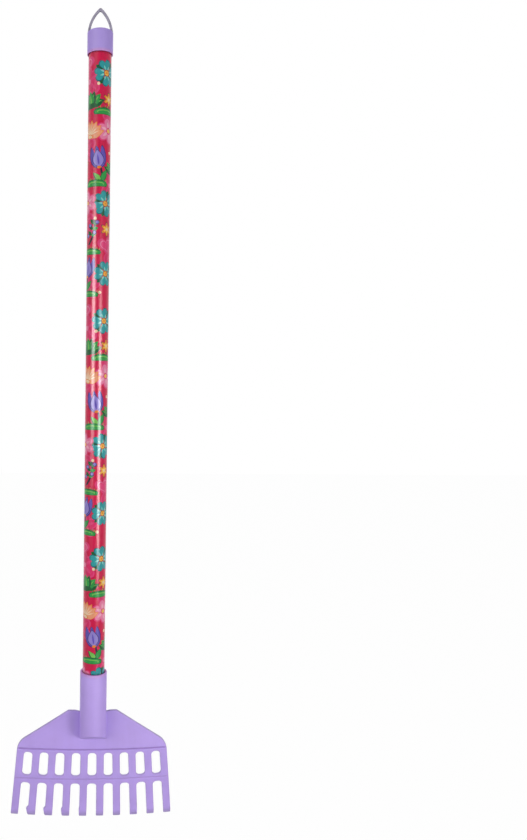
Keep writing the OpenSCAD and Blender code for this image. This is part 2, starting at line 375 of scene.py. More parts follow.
def add_lamp(name, azimuth, elevation, distance, target_z, size, watts, in_gloss):
    """Area lamp of size (width, height) that looks at the handle's axis, all in metres. It either
    shows in glossy surfaces only, or lights everything and shows in none."""
    data = bpy.data.lights.new(name, "AREA")
    data.shape = "RECTANGLE"
    data.size, data.size_y = size
    data.energy = watts
    lamp = bpy.data.objects.new(name, data)
    bpy.context.scene.collection.objects.link(lamp)
    back = direction(azimuth, elevation)
    side = unit(np.cross([0, 0, 1.0], back))
    place = np.eye(4)
    place[:3, :3] = np.stack([side, np.cross(back, side), back], 1)
    place[:3, 3] = np.array((0, 0, target_z)) + back * distance
    lamp.matrix_world = Matrix(place)
    lamp.visible_camera = False
    lamp.visible_glossy = in_gloss
    lamp.visible_diffuse = not in_gloss


# Azimuth and elevation in degrees, distance, height aimed at, size and watts
add_lamp("key_lamp", 42, 10, 1.35, -0.78, (0.42, 0.6), 6.4, in_gloss=False)
add_lamp("left_fill", -46, 16, 1.9, -0.34, (1.2, 1.4), 14.8, in_gloss=False)
add_lamp("right_fill", 70, -5, 1.9, -0.75, (1.0, 1.0), 2.4, in_gloss=False)
add_lamp("back_lamp", 165, 30, 2.0, -0.42, (1.2, 1.2), 12, in_gloss=False)
add_lamp("streak_right", 29, 0, 1.5, -0.53, (0.60, 0.72), 29, in_gloss=True)
add_lamp("streak_left", -41, 0, 1.5, -0.20, (0.80, 0.62), 28, in_gloss=True)

# %% [markdown]
# The floor and the sky are white to the camera, whatever the lamps do. That could be had with more
# light, but it would bleach the rake, so the Light Path node gives seen rays a white of their own. A
# real studio is dark round the camera. That makes the film's colours deep in the middle of the handle
# and pale at its sides, so the white also grows dimmer to reflections on the camera's side.

# %% White to the camera, and the sky
WHITE = (1, 1, 1, 1)
front_share = 0.3
sky_strength = 0.34


def white_when_seen(tree, plain, white_kind, place, front_y, back_y, share=1.0):
    """Mixes a plain shader with a white one. The light's own rays meet the plain one. Camera, glossy
    and transmission rays meet the white one by its share. Its strength is 1 for the camera, and for
    the others it grows from front_share to 1 as the y of the place goes from front_y to back_y."""
    rays = tree.nodes.new("ShaderNodeLightPath").outputs
    seen = maths(tree, "MAXIMUM", rays["Is Camera Ray"], rays["Is Glossy Ray"])
    seen = maths(tree, "MAXIMUM", seen, rays["Is Transmission Ray"])
    y = add_node(tree, "ShaderNodeSeparateXYZ", Vector=place).outputs["Y"]
    reflected = remapped(tree, y, front_y, back_y, front_share, 1.0)
    strength = maths(tree, "MAXIMUM", reflected, rays["Is Camera Ray"])
    white = add_node(tree, white_kind, Color=WHITE, Strength=strength)
    return add_node(tree, "ShaderNodeMixShader", maths(tree, "MULTIPLY", seen, share),
                    plain.outputs[0], white.outputs[0]).outputs[0]


world = bpy.data.worlds.new("studio")
bpy.context.scene.world = world
world.use_nodes = True
sky = world.node_tree
sky.nodes.clear()
# In a world, Generated is the direction that a ray looks in
sky_way = sky.nodes.new("ShaderNodeTexCoord").outputs["Generated"]
sky_light = add_node(sky, "ShaderNodeBackground", Color=WHITE, Strength=sky_strength)
add_node(sky, "ShaderNodeOutputWorld",
         white_when_seen(sky, sky_light, "ShaderNodeBackground", sky_way, -0.9, 0.2))
print("sky's light:", sky_strength)

# %% [markdown]
# The floor lies far enough below the tines to leave the background plain. Its paint is a matt grey for
# the lamps, so that it throws no more light up at the rake than a real floor, and nearly all white to
# the camera. A trace of the grey is left, in which a shadow could still show.

# %% Floor
floor_z, floor_half = -1.25, 6.0
floor_grey, floor_white_share = 0.6, 0.985
corners = [(-1, -1), (1, -1), (1, 1), (-1, 1)]
floor_mesh = bpy.data.meshes.new("studio_floor")
floor_mesh.from_pydata([(x * floor_half, y * floor_half, floor_z) for x, y in corners], [],
                       [(0, 1, 2, 3)])
floor = bpy.data.objects.new("studio_floor", floor_mesh)
bpy.context.scene.collection.objects.link(floor)

floor_paint = bpy.data.materials.new("studio_white")
floor_paint.use_nodes = True
paint = floor_paint.node_tree
paint.nodes.clear()
matt = add_node(paint, "ShaderNodeBsdfDiffuse", Color=(floor_grey, floor_grey, floor_grey, 1))
add_node(paint, "ShaderNodeOutputMaterial",
         white_when_seen(paint, matt, "ShaderNodeEmission", object_place(paint), -2.0, 0.5,
                         floor_white_share))
floor_mesh.materials.append(floor_paint)

bpy.context.scene.view_settings.view_transform = "Standard"
print("floor at %.2f m, white to the camera" % floor_z)

# %% [markdown]
# ## Finishes
#
# Two effects are used by more than one material, so each is a node group. The first is the hair-fine
# scratches of any handled surface. Noise that is drawn out along one way is a field of long threads,
# and only its highest parts are kept. Three such fields in different directions look like use.

# %% Node group: hair-fine scratches
thread_stretch = 0.03
thread_low, thread_high = 0.66, 0.72
scratches, given, result = new_group("fine_scratches", {"Scale": 60.0, "Amount": 0.3}, {"Mask": FLOAT})
place = object_place(scratches)
threads = []
for turn, seed in ((14, 1.7), (74, 5.2), (139, 9.1)):
    turned_place = add_node(scratches, "ShaderNodeMapping", Vector=place, Location=(seed, seed, 0),
                            Rotation=(np.radians(turn), np.radians(turn / 3), 0),
                            Scale=(1.0, 1.0, thread_stretch)).outputs[0]
    hairs = noise(scratches, turned_place, given["Scale"], 3.0, roughness=0.6)
    threads.append(remapped(scratches, hairs, thread_low, thread_high, 0, 1))
highest = maths(scratches, "MAXIMUM", maths(scratches, "MAXIMUM", *threads[:2]), threads[2])
feed(scratches, result, Mask=maths(scratches, "MULTIPLY", highest, given["Amount"]))
print("threads of the scratches:", len(threads))

# %% [markdown]
# The second effect is the skin of a moulding. Plastic that has flowed into a mould is faintly clouded
# and streaked along its flow, its surface has a fine orange peel and grain, and scratches turn it pale.
# Where edges are rounded it looks duller, and the grooves are darkened with painted shade: two
# attributes on the mesh, edge and groove, say where. A flat colour with one roughness would look like
# a toy in a drawing.

# %% Node group: skin of a moulding
cloud_waves, flow_waves, peel_waves, grain_waves, scratch_waves = 38.0, 120.0, 900.0, 4200.0, 90.0
flow_stretch = 0.18
cloud_rough, scratch_rough = 0.03, 0.35
grain_height, scratch_height = 0.25, -0.6
# Colour of the painted shade that darkens the grooves
groove_shade_tint = (0.58, 0.49, 0.63, 1)
scuff_tint = (0.16, 0.15, 0.17, 1)

skin, given, result = new_group(
    "moulded_skin",
    {"Colour": (0.5, 0.5, 0.5, 1), "Edge colour": (0.4, 0.4, 0.4, 1), "Mottle": 0.05,
     "Base roughness": 0.35, "Scratches": 0.15},
    {"Colour": COLOUR, "Roughness": FLOAT, "Height": FLOAT})
place = object_place(skin)
clouds = noise(skin, place, cloud_waves, 4.0, roughness=0.55)
flow = noise(skin, place, flow_waves, 3.0, along_z=flow_stretch)
peel = noise(skin, place, peel_waves, 2.0)
grain = noise(skin, place, grain_waves, 2.0)
scratch = use_group(skin, scratches, Scale=scratch_waves, Amount=given["Scratches"])["Mask"]

cloud_tone = varied(skin, clouds, -1, 1)
flow_tone = varied(skin, flow, -0.6, 0.6)
tone = maths(skin, "MULTIPLY_ADD", maths(skin, "ADD", cloud_tone, flow_tone), given["Mottle"], 1.0)
colour = scaled(skin, given["Colour"], tone)
# Painted shade: the groove colour is multiplied in where the groove attribute is set
colour = mix_colour(skin, "MULTIPLY", attribute(skin, "groove")["Fac"], colour, groove_shade_tint)
uneven = remapped(skin, clouds, 0.25, 0.75, 0.5, 1.0)
edge_share = maths(skin, "MULTIPLY", attribute(skin, "edge")["Fac"], uneven)
colour = mix_colour(skin, "MIX", edge_share, colour, given["Edge colour"])
colour = mix_colour(skin, "SCREEN", scratch, colour, scuff_tint)
rough = maths(skin, "MULTIPLY_ADD", cloud_tone, cloud_rough, given["Base roughness"])
rough = maths(skin, "MULTIPLY_ADD", scratch, scratch_rough, rough)
height = maths(skin, "MULTIPLY_ADD", grain, grain_height, peel)
height = maths(skin, "MULTIPLY_ADD", scratch, scratch_height, height)
feed(skin, result, Colour=colour, Roughness=rough, Height=height)
print("groups:", [g.name for g in bpy.data.node_groups])

# %% [markdown]
# The head, the cap and the loop are the same satin plastic, and look a little different in the
# photograph: the cap is deeper in colour, and the thin loop is greyer because light passes through it.
# One function makes all three. The two rims next to the film also get a painted reflection: a pink
# tint from the film's light.

# %% Materials of the mouldings
mottle, scratch_amount = 0.035, 0.12
peel_strength, peel_depth = 0.25, 0.00006
# Pink of the film's painted reflection on the rims
painted_film_reflection = paint_colour(214, 132, 196)


def moulded_material(name, colour, edge_colour, roughness, reflection_z=None, reflection_share=0.4):
    """Satin plastic in a colour, and in another along its edges. From the first to the second height
    of reflection_z it takes a growing pink tint, a painted reflection of the crimson film beside it."""
    material, tree, shader = new_material(name, IOR=1.49, Specular_IOR_Level=0.45)
    body = use_group(tree, skin, Colour=paint_colour(*colour), Edge_colour=paint_colour(*edge_colour),
                     Mottle=mottle, Base_roughness=roughness, Scratches=scratch_amount)
    colour_out = body["Colour"]
    if reflection_z:
        height = height_of(tree, object_place(tree))
        # Painted reflection of the crimson film, growing towards the rim
        blush = remapped(tree, height, reflection_z[0] * MM, reflection_z[1] * MM, 0.0, reflection_share)
        colour_out = mix_colour(tree, "MIX", blush, colour_out, painted_film_reflection)
    bump = add_node(tree, "ShaderNodeBump", Height=body["Height"], Strength=peel_strength,
                    Distance=peel_depth)
    feed(tree, shader, Base_Color=colour_out, Roughness=body["Roughness"], Normal=bump.outputs[0])
    return material


lilac_head = moulded_material("lilac_moulding", (189, 161, 239), (150, 140, 177), 0.54,
                              (socket_rim_z - 3.4, socket_rim_z - 0.4))
lilac_cap = moulded_material("lilac_cap_moulding", (176, 151, 231), (148, 138, 178), 0.52,
                             (cap_rim_z + 3.2, cap_rim_z + 0.6), 0.5)
lilac_loop = moulded_material("lilac_loop_moulding", (155, 149, 169), (138, 134, 154), 0.52)
print("moulded:", lilac_head.name, lilac_cap.name, lilac_loop.name)

# %% [markdown]
# ## The sheet of the head
#
# On the real rake the plate, the slotted band and the tines are one bowed sheet. It could be cut out
# of a block with booleans, but a moulding has rounded edges everywhere. So the sheet is drawn flat, as
# outlines in x and z. Each outline gets a rounded edge that runs round it, the area between the
# outlines is filled with triangles, and one formula bends the flat drawing into its final shape.

# %% Sizes and bent shape of the sheet
plate_top_z = socket_rim_z - 44.7
fold_z = plate_top_z - 41.3
crease_z = fold_z - 32.9
plate_front_y, bow_r = 8.0, 615.0
sheet_t, tip_t = 2.8, 2.2
band_tilt, tine_tilt, hook_turn = np.radians([6, 9, 34])
hook_r, tip_beyond = 18.0, 0.6
end_tilt = tine_tilt + hook_turn
hook_end_z = tip_z + tip_t / 2 * (1 - np.sin(end_tilt))
hook_z = hook_end_z + hook_r * (np.sin(end_tilt) - np.sin(tine_tilt))
sheet_end_z = hook_end_z - tip_beyond
fold_softness, steepest = 0.8, 0.9


def ramp(s):
    """0 before the bend, s after it, and a parabola between -a and a."""
    a = fold_softness
    return np.where(s < -a, 0, np.where(s > a, s, (s + a) ** 2 / (4 * a)))


def sheet_depth(z):
    """Depth of the front behind the plate: two bends, then the hook's circle at the tips."""
    depth = np.tan(band_tilt) * ramp(fold_z - z)
    depth = depth + (np.tan(tine_tilt) - np.tan(band_tilt)) * ramp(crease_z - z)
    s = np.maximum(hook_z - z, 0)
    sine = np.clip(np.sin(tine_tilt) + s / hook_r, -1, steepest)
    return depth + hook_r * (np.cos(tine_tilt) - np.sqrt(1 - sine ** 2)) - s * np.tan(tine_tilt)


def sheet_tilt(z, step=0.05):
    """Angle of the front to the vertical, from the slope of its depth."""
    return np.arctan((sheet_depth(z - step) - sheet_depth(z + step)) / (2 * step))


def sheet_thickness(z):
    """Thickness of the sheet, which falls evenly to the tips over the hook."""
    return sheet_t - (sheet_t - tip_t) * smooth_step(0, 1, (hook_z - z) / (hook_z - hook_end_z))


print("fold %.1f, crease %.1f, hook %.1f, tips %.1f mm" % (fold_z, crease_z, hook_z, tip_z))

# %% [markdown]
# The tines and the slots between them spread like a fan from one far point above the head. The fold
# and the crease have moulded grooves that let them bend cleanly. Both are worked into the same
# formula, so that every point of the sheet, on its front, its back or its edge, is bent alike.

# %% Fan, grooves and the bend
fan_r, tine_pitch, tine_w, tines = 795.0, 16.2, 7.6, 10
fan_z = fold_z + fan_r
fan_step = 2 * np.arctan(tine_pitch / fan_r / 2)
outer_angle = (tines - 1) / 2 * fan_step
groove_half, groove_fade = 1.2, 3.0
fold_groove, crease_groove = 1.1, 0.3


def edge_x(z):
    """Half the width of the comb at height z."""
    return (tine_w / 2 + (fan_z - z) * np.sin(outer_angle)) / np.cos(outer_angle)


def groove(x, z):
    """Depth of the two grooves: a cosine wave across, fading out near both sides."""
    depth = 0
    for line_z, deepest in ((fold_z, fold_groove), (crease_z, crease_groove)):
        t = np.minimum(np.abs(z - line_z) / groove_half, 1)
        depth = depth + deepest * np.cos(np.pi / 2 * t) ** 2
    return depth * smooth_step(0, groove_fade, edge_x(z) - np.abs(x))


def on_sheet(x, z, w):
    """Bent place of the point that is w behind the front at (x, z). It goes w along the sheet's
    normal in the side view, and then round the bow: y = front + R - sqrt((R - depth)^2 - x^2)."""
    tilt, thickness = sheet_tilt(z), sheet_thickness(z)
    w = w + groove(x, z) * np.clip(1 - w / thickness, 0, 1)
    depth = sheet_depth(z) + w * np.cos(tilt)
    y = plate_front_y + bow_r - np.sqrt((bow_r - depth) ** 2 - x ** 2)
    return np.stack([x, y, z + w * np.sin(tilt)], -1)


print("comb: %.1f mm wide at the fold, %.1f at the tips" % (2 * edge_x(fold_z), 2 * edge_x(tip_z)))

# %% [markdown]
# An outline is a list of corners, and each corner has the radius that the mould gives it. Arcs take
# the corners' places, and long stretches are divided, because a straight line drawn flat has to bend
# with the sheet later. A helper also tells which points lie inside a set of outlines.


# %% Helpers for outlines
def rounded_loop(corners, radii, arc_points=9):
    """Closed outline through corners, each rounded by an arc: the arc's centre lies on the corner's
    bisector at r / sin(half angle), and its points turn evenly from one tangent point to the other."""
    corners, radii = np.asarray(corners, float), np.asarray(radii, float)[:, None]
    u = unit(np.roll(corners, 1, 0) - corners)
    v = unit(np.roll(corners, -1, 0) - corners)
    half = np.arccos(np.clip((u * v).sum(-1, keepdims=True), -1, 1)) / 2
    centre = corners + unit(u + v) * radii / np.sin(half)
    start = corners + u * radii / np.tan(half) - centre
    end = corners + v * radii / np.tan(half) - centre
    turn = np.pi - 2 * half[:, None]
    t = np.linspace(0, 1, arc_points)[None, :, None]
    arc = (np.sin((1 - t) * turn) * start[:, None] + np.sin(t * turn) * end[:, None]) / np.sin(turn)
    return (centre[:, None] + arc).reshape(-1, 2)


def subdivided(loop, step, nearest=0.02):
    """The same closed outline with no stretch longer than step, and without points that lie nearer
    than that to the next one."""
    loop = loop[np.linalg.norm(np.roll(loop, -1, 0) - loop, axis=1) > nearest]
    stretch = np.roll(loop, -1, 0) - loop
    parts = np.ceil(np.linalg.norm(stretch, axis=1) / step).astype(int)
    index = np.repeat(np.arange(len(loop)), parts)
    t = (np.arange(parts.sum()) - np.repeat(np.cumsum(parts) - parts, parts)) / parts[index]
    return loop[index] + stretch[index] * t[:, None]


def inside(points, loops):
    """True where a point lies inside an odd number of the closed outlines."""
    result = np.zeros(len(points), bool)
    x, y = points[:, :1], points[:, 1:]
    for loop in loops:
        a, b = loop.T[:, None], np.roll(loop, -1, 0).T[:, None]
        rise = np.where(b[1] == a[1], 1e-12, b[1] - a[1])
        crosses = ((a[1] > y) != (b[1] > y)) & (x < a[0] + (y - a[1]) * (b[0] - a[0]) / rise)
        result ^= crosses.sum(1) % 2 == 1
    return result


square = subdivided(rounded_loop([[0, 0], [9, 0], [9, 9], [0, 9]], [2] * 4), 1.0)
print("a 9 mm square with round corners has", len(square), "points")

# %% [markdown]
# The gaps between the tines and the slots above them lie on the same nine lines of the fan. So their
# corners come from one function: half the distance between two tines' lines at that place, less half
# a tine, to either side of the gap's line. A tine's own corners lie half its width from its line.

# %% Corners of gaps and tines
gaps = np.arange(tines - 1) - (tines - 2) / 2


def gap_corner(i, z, side):
    """Corner of gap i on one side, where the gap's axis passes height z."""
    turn = gaps[i] * fan_step
    s = (fan_z - z) / np.cos(turn)
    x = side * (s * np.sin(fan_step / 2) - tine_w / 2) / np.cos(fan_step / 2)
    return x * np.cos(turn) + s * np.sin(turn), fan_z + x * np.sin(turn) - s * np.cos(turn)


def tine_corner(j, z, side, out=0.0):
    """Point on one side of tine j at height z, moved outwards by a length."""
    angle, u = (j - (tines - 1) / 2) * fan_step, side * (tine_w / 2 + out)
    s = (fan_z - z + u * np.sin(angle)) / np.cos(angle)
    return u * np.cos(angle) + s * np.sin(angle), z


gap_left, gap_right = (gap_corner(tines // 2 - 1, crease_z, side)[0] for side in (-1, 1))
print("a gap is %.2f mm wide at the crease" % (gap_right - gap_left))

# %% [markdown]
# The comb's outline runs down the left side, in and out of nine gaps, up the right side and over the
# sloping shoulders, and dips a little where the socket stands. A few tips at the left have small lumps
# beside them, because the real moulding isn't perfect either. The nine slots are outlines too.

# %% Outlines of the comb and the slots
slot_top_web, slot_low_web, gap_web = 3.8, 3.0, 5.2
gap_corner_r, tip_corner_r = 3.6, 1.0
plate_top_half, plate_top_r = 24.7, 4.0
shoulder_z, shoulder_r = plate_top_z - 34.6, 18.0
contour_step, contour_nearest = 1.5, 0.08

# Lumps: how far each stands out by its tine, and then height above the tip, share of that, radius
tip_lumps = {1: 2.2, 2: 2.0, 3: 1.2, 4: 0.5}
lump_shape = ((12.0, 0, 1.0), (9.2, 1, 1.0), (3.0, 0.5, 3.0))
# The top edge beside the socket from right to left: x, drop and radius
top_edge = ((socket_r + 4, 0.1, 6.0), (socket_r - 2, 1.6, 2.0),
            (-socket_r + 2, 1.6, 2.0), (-socket_r - 4, 0.1, 6.0))


def comb_outline():
    """Outer outline: down the left side, along tips and gaps, up the right side, over the top. Its
    corners are rows of x, z and radius."""
    gap_top = crease_z - gap_web
    corners = [(-plate_top_half, plate_top_z, plate_top_r),
               (-edge_x(shoulder_z), shoulder_z, shoulder_r)]
    for j in range(tines):
        if j in tip_lumps:
            corners += [(*tine_corner(j, tip_z + up, -1, share * tip_lumps[j]), r)
                        for up, share, r in lump_shape]
        corners += [(*tine_corner(j, sheet_end_z, side), tip_corner_r) for side in (-1, 1)]
        if j < tines - 1:
            corners += [(*gap_corner(j, gap_top, side), gap_corner_r) for side in (-1, 1)]
    corners += [(edge_x(shoulder_z), shoulder_z, shoulder_r),
                (plate_top_half, plate_top_z, plate_top_r)]
    corners += [(x, plate_top_z - drop, r) for x, drop, r in top_edge]
    corners = np.array(corners)
    return subdivided(rounded_loop(corners[:, :2], corners[:, 2]), contour_step, contour_nearest)


def slot_outline(i):
    """Outline of slot i, the other way round, so that the sheet is always at its left."""
    top_z, low_z = fold_z - slot_top_web, crease_z + slot_low_web
    corners = [gap_corner(i, top_z, -1), gap_corner(i, top_z, 1),
               gap_corner(i, low_z, 1), gap_corner(i, low_z, -1)]
    return subdivided(rounded_loop(corners, [gap_corner_r] * 4), contour_step)


outlines = [comb_outline()] + [slot_outline(i) for i in range(tines - 1)]
print("outlines:", len(outlines), "points:", sum(len(o) for o in outlines))

# %% [markdown]
# Each outline grows into a band of rings: from a little inside the front, round a quarter circle to
# the edge, straight through the sheet, round another quarter circle and a little inside the back. The
# straight rings beside the arcs keep the shading of the flat faces flat.

# %% Rounded edges
edge_r, edge_support, edge_steps = 0.55, 0.25, 6
arc = np.linspace(0, np.pi / 2, edge_steps)
ring_inset = np.concatenate([[edge_r + edge_support], edge_r * (1 - np.sin(arc)),
                             edge_r * (1 - np.sin(arc[::-1])), [edge_r + edge_support]])
ring_from_front = np.concatenate([[0], edge_r * (1 - np.cos(arc)), 0 * arc, [0]])
ring_from_back = np.concatenate([[0], 0 * arc, edge_r * (1 - np.cos(arc[::-1])), [0]])
ring_at_back = np.arange(2 * edge_steps + 2) > edge_steps


def sheet_rings(outline):
    """Flat rings of one outline, (ring, point, xz), and how deep in the sheet each point is."""
    along = unit(np.roll(outline, -1, 0) - np.roll(outline, 1, 0))
    inward = np.stack([-along[:, 1], along[:, 0]], -1)
    flat = outline[None] + inward[None] * ring_inset[:, None, None]
    thickness = sheet_thickness(outline[:, 1])[None]
    depth = np.where(ring_at_back[:, None], thickness - ring_from_back[:, None],
                     ring_from_front[:, None] + 0 * thickness)
    return flat, depth


bands = [sheet_rings(outline) for outline in outlines]
borders = [flat[0] for flat, _ in bands]
print("rings round each outline:", len(ring_inset))

# %% [markdown]
# The faces between the bands are triangles through a net of points. The net is close where the sheet
# bends most, at the grooves and along the hook, and keeps off the borders. A constrained Delaunay
# triangulation joins them, and doesn't cross an outline. Slivers that it leaves are dropped.

# %% Filled faces
fill_step = 2.0
groove_rows, groove_reach, groove_clear = 15, groove_half + 0.6, groove_half + 0.7
border_gap = fill_step * 0.4
sliver_height, cut_precision = 3e-4, 1e-6


def fill_points(loops):
    """Grid of points inside the outlines, with close rows at the grooves and along the hook."""
    fine = np.linspace(-groove_reach, groove_reach, groove_rows)
    rows = np.concatenate([np.arange(hook_z, plate_top_z, fill_step),
                           np.arange(sheet_end_z, hook_z, fill_step / 2)])
    rows = rows[np.minimum(np.abs(rows - fold_z), np.abs(rows - crease_z)) > groove_clear]
    rows = np.sort(np.concatenate([rows, fold_z + fine, crease_z + fine]))
    x = np.arange(-edge_x(tip_z), edge_x(tip_z), fill_step)
    points = np.stack(np.meshgrid(x, rows), -1).reshape(-1, 2)
    points = points[inside(points, loops)]
    border = np.concatenate(loops)
    across, up = (points[:, None, k] - border[None, :, k] for k in (0, 1))
    return points[np.hypot(across, up).min(1) > border_gap]


def fill_between(loops, extra):
    """Triangles between the outlines, through extra points, as indices into loops then extra."""
    flat = np.concatenate(loops + [extra])
    starts = np.cumsum([0] + [len(loop) for loop in loops])[:-1]
    edges = [(int(first + k), int(first + (k + 1) % len(loop)))
             for first, loop in zip(starts, loops) for k in range(len(loop))]
    verts, _, tris, origin, _, _ = delaunay_2d_cdt(flat.tolist(), edges, [], 0, cut_precision)
    verts, tris = np.array(verts), np.array(tris)
    index = np.array([ids[0] for ids in origin])
    sides = verts[tris] - verts[np.roll(tris, -1, 1)]
    longest = np.linalg.norm(sides, axis=2).max(1)
    twice_area = np.abs(sides[:, 0, 0] * sides[:, 1, 1] - sides[:, 0, 1] * sides[:, 1, 0])
    solid = twice_area > longest * sliver_height
    return index[tris][inside(verts[tris].mean(1), loops) & solid]


net = fill_points(borders)
triangles = fill_between(borders, net)
print("triangles on each face of the sheet:", len(triangles))

# %% [markdown]
# The plastic doesn't look the same everywhere: its rounded edges are duller, the last millimetres of
# the tines are greyer, and the grooves get painted shade. On the flat drawing all of that is simple,
# because it only depends on how far round an edge, how near the tips or how deep in a groove a point
# is. So each point gets two marks from 0 to 1, which are stored on the mesh, and the material reads
# them.

# %% Marks of dull edges, grey tips and painted shade
tip_dull, tip_dull_top, tip_dull_low = 0.55, 9, 1
edge_dull_low, edge_dull_more = 0.5, 0.35
groove_shade = 0.9


def tip_mark(z):
    """How much greyer the last millimetres of the tines are, growing evenly to the tips."""
    return tip_dull * smooth_step(tip_z + tip_dull_top, tip_z + tip_dull_low, z)


def edge_mark(z):
    """How dull the rounded edges are: most at the outermost rings, and more above the fold."""
    outermost = 1 - np.clip(ring_inset / (edge_r + edge_support), 0, 1)
    above_fold = smooth_step(fold_z - 2, fold_z + 6, z)
    return np.maximum(outermost[:, None] * (edge_dull_low + edge_dull_more * above_fold), tip_mark(z))


def groove_shade_mark(x, z):
    """How much painted shade the two grooves get, as the square root of their depth."""
    return groove_shade * np.sqrt(groove(x, z))


def store_marks(piece, name, values):
    """Stores a number from 0 to 1 for each point, for the material to read by its name."""
    stored = piece.data.attributes.new(name, "FLOAT", "POINT")
    stored.data.foreach_set("value", np.asarray(values, np.float32))


print("mark of the fold's groove: %.2f" % groove_shade_mark(0, fold_z))

# %% [markdown]
# Now everything is bent and joined. The rings round all outlines come first, then the net of points on
# the front and that on the back. Both nets use the same triangles, once with the rings' first points
# and once with their last ones, so that the faces and the edges share their points.

# %% The finished sheet
points, face_sets, edge_marks, groove_shade_marks = [], [], [], []
front_ids, back_ids = [], []
first = 0
for flat, depth in bands:
    x, z = flat[..., 0], flat[..., 1]
    ring_count, ring_points = depth.shape
    points.append(on_sheet(x, z, depth).reshape(-1, 3))
    face_sets.append(ring_faces(ring_count, ring_points) + first)
    front_ids.append(first + np.arange(ring_points))
    back_ids.append(first + (ring_count - 1) * ring_points + np.arange(ring_points))
    edge_marks.append(edge_mark(z).ravel())
    groove_shade_marks.append((groove_shade_mark(x, z) * ~ring_at_back[:, None]).ravel())
    first += ring_count * ring_points

x, z = net.T
for ids, depth, in_front in ((front_ids, 0 * z, 1), (back_ids, sheet_thickness(z), 0)):
    points.append(on_sheet(x, z, depth))
    edge_marks.append(tip_mark(z))
    groove_shade_marks.append(groove_shade_mark(x, z) * in_front)
    ids.append(first + np.arange(len(net)))
    face_sets.append(np.concatenate(ids)[triangles])
    first += len(net)


sheet = add_piece("rake_comb", np.concatenate(points), face_sets, lilac_head, merge=0.0)
store_marks(sheet, "edge", np.concatenate(edge_marks))
# The groove mark is painted shade for the grooves
store_marks(sheet, "groove", np.concatenate(groove_shade_marks))

# %% [markdown]
# ## The socket
#
# The handle sits in a round socket with a rounded rim. Its lower end is cut at a slope, so that it is
# longer behind than in front. It is turned round the handle's axis like a pot, but the height of its
# lower end depends on where the point is: the cut falls by the tangent of its slope towards the back.

# %% Socket
socket_end_z, socket_slope = socket_rim_z - 62.2, np.radians(30)
socket_floor_z = socket_end_z + 5.0
rim_round, end_round = 0.7, 0.8
lead_in, lead_h, rim_flat, rim_flat_h = 0.5, 1.6, 0.2, 0.25
wall_ring_h = 12.0
end_shares = np.array([[0.7], [0.35], [0.0]])


def corner_profile(corner, radius, steps=7):
    """Quarter circle from straight above a centre to its right, as (radius, height) points."""
    a = np.radians(np.linspace(90, 0, steps))
    return np.stack([corner[0] + radius * np.cos(a), corner[1] + radius * np.sin(a)], -1)


def socket_rings(steps=144):
    """Profile from the middle of the floor up the bore, over the rim, down the wall and across the
    sloping end. The heights of the end are measured from the cut at each point's own depth."""
    a = np.linspace(0, 2 * np.pi, steps, endpoint=False)[None]
    bore = np.array([[0, socket_floor_z], [seat_r, socket_floor_z], [seat_r, socket_rim_z - lead_h],
                     [seat_r + lead_in, socket_rim_z - rim_flat_h],
                     [seat_r + lead_in + rim_flat, socket_rim_z]])
    rim = corner_profile((socket_r - rim_round, socket_rim_z - rim_round), rim_round)
    upper = np.concatenate([bore, rim])
    # Below them: two rings on the wall, the rounded lower edge, and three rings on the cut
    t = np.linspace(0, 1, 7)[1:, None] * np.pi / 2
    r = np.concatenate([upper[:, :1], [[socket_r], [socket_r]], socket_r - end_round * (1 - np.cos(t)),
                        end_shares * socket_r]) + 0 * a
    above_cut = np.concatenate([0 * upper[:, :1], [[wall_ring_h], [end_round]],
                                end_round * (1 - np.sin(t)), 0 * end_shares])
    y = -r * np.cos(a)
    z = socket_end_z - (socket_r + y) * np.tan(socket_slope) + above_cut
    z[:len(upper)] = upper[:, 1:]
    return np.stack([r * np.sin(a), y, z], -1)


socket = add_rings("head_socket", socket_rings(), lilac_head)

# %% [markdown]
# ## Ribs, ejector marks and boss behind the head
#
# A thin moulded plate is stiffened by ribs behind it: one along the fold and two pairs that spread
# from the socket. A rib is a profile with a round top and small fillets at its foot, carried along a
# line on the back of the plate, and its height runs out in a quarter ellipse at its free ends.

# %% Ribs
rib_w, rib_h, rib_sunk, rib_fillet = 2.0, 3.0, 0.4, 0.8
rib_run_out, rib_above_fold = 6.0, 1.2
hub_z = plate_top_z - 8.0
rib_z = fold_z + rib_above_fold + rib_w / 2
rib_end_x = edge_x(fold_z) - shoulder_r / 2


def rib_section(steps=8):
    """Closed cross-section (across, above the back): fillet, wall, round top, wall, fillet, foot."""
    a = np.linspace(0, np.pi / 2, steps)
    half = rib_w / 2
    foot = np.stack([half + rib_fillet * (1 - np.sin(a)), rib_fillet * (1 - np.cos(a))], -1)
    crown = np.stack([half * np.cos(a), rib_h - half + half * np.sin(a)], -1)
    right_side = np.concatenate([[[half + rib_fillet, -rib_sunk]], foot, crown])
    return np.concatenate([right_side, right_side[::-1] * [-1, 1]])


def rib(name, start, end, run_out=0.0, steps=48):
    """Rib from start to end, (x, z) points on the plate's back. Over the run-out at both ends its
    height is that of a quarter ellipse."""
    start, end = np.array(start, float), np.array(end, float)
    length = np.linalg.norm(end - start)
    along = (end - start) / length
    s = length * (1 - np.cos(np.pi * np.linspace(0, 1, steps))) / 2
    height = np.ones(steps)
    if run_out:
        for distance in (s, length - s):
            height *= np.sqrt(1 - np.clip(1 - distance / run_out, 0, 1) ** 2)
    section = rib_section()
    across = np.array([-along[1], along[0]])
    flat = start + s[:, None, None] * along + section[None, :, :1] * across
    profile = section[None, :, 1]
    lift = np.where(profile > 0, profile * height[:, None], profile)
    x, z = flat[..., 0], flat[..., 1]
    rings = on_sheet(x, z, sheet_thickness(z) + lift)
    return add_rings(name, rings, lilac_head, end_faces=True, merge=0.001)


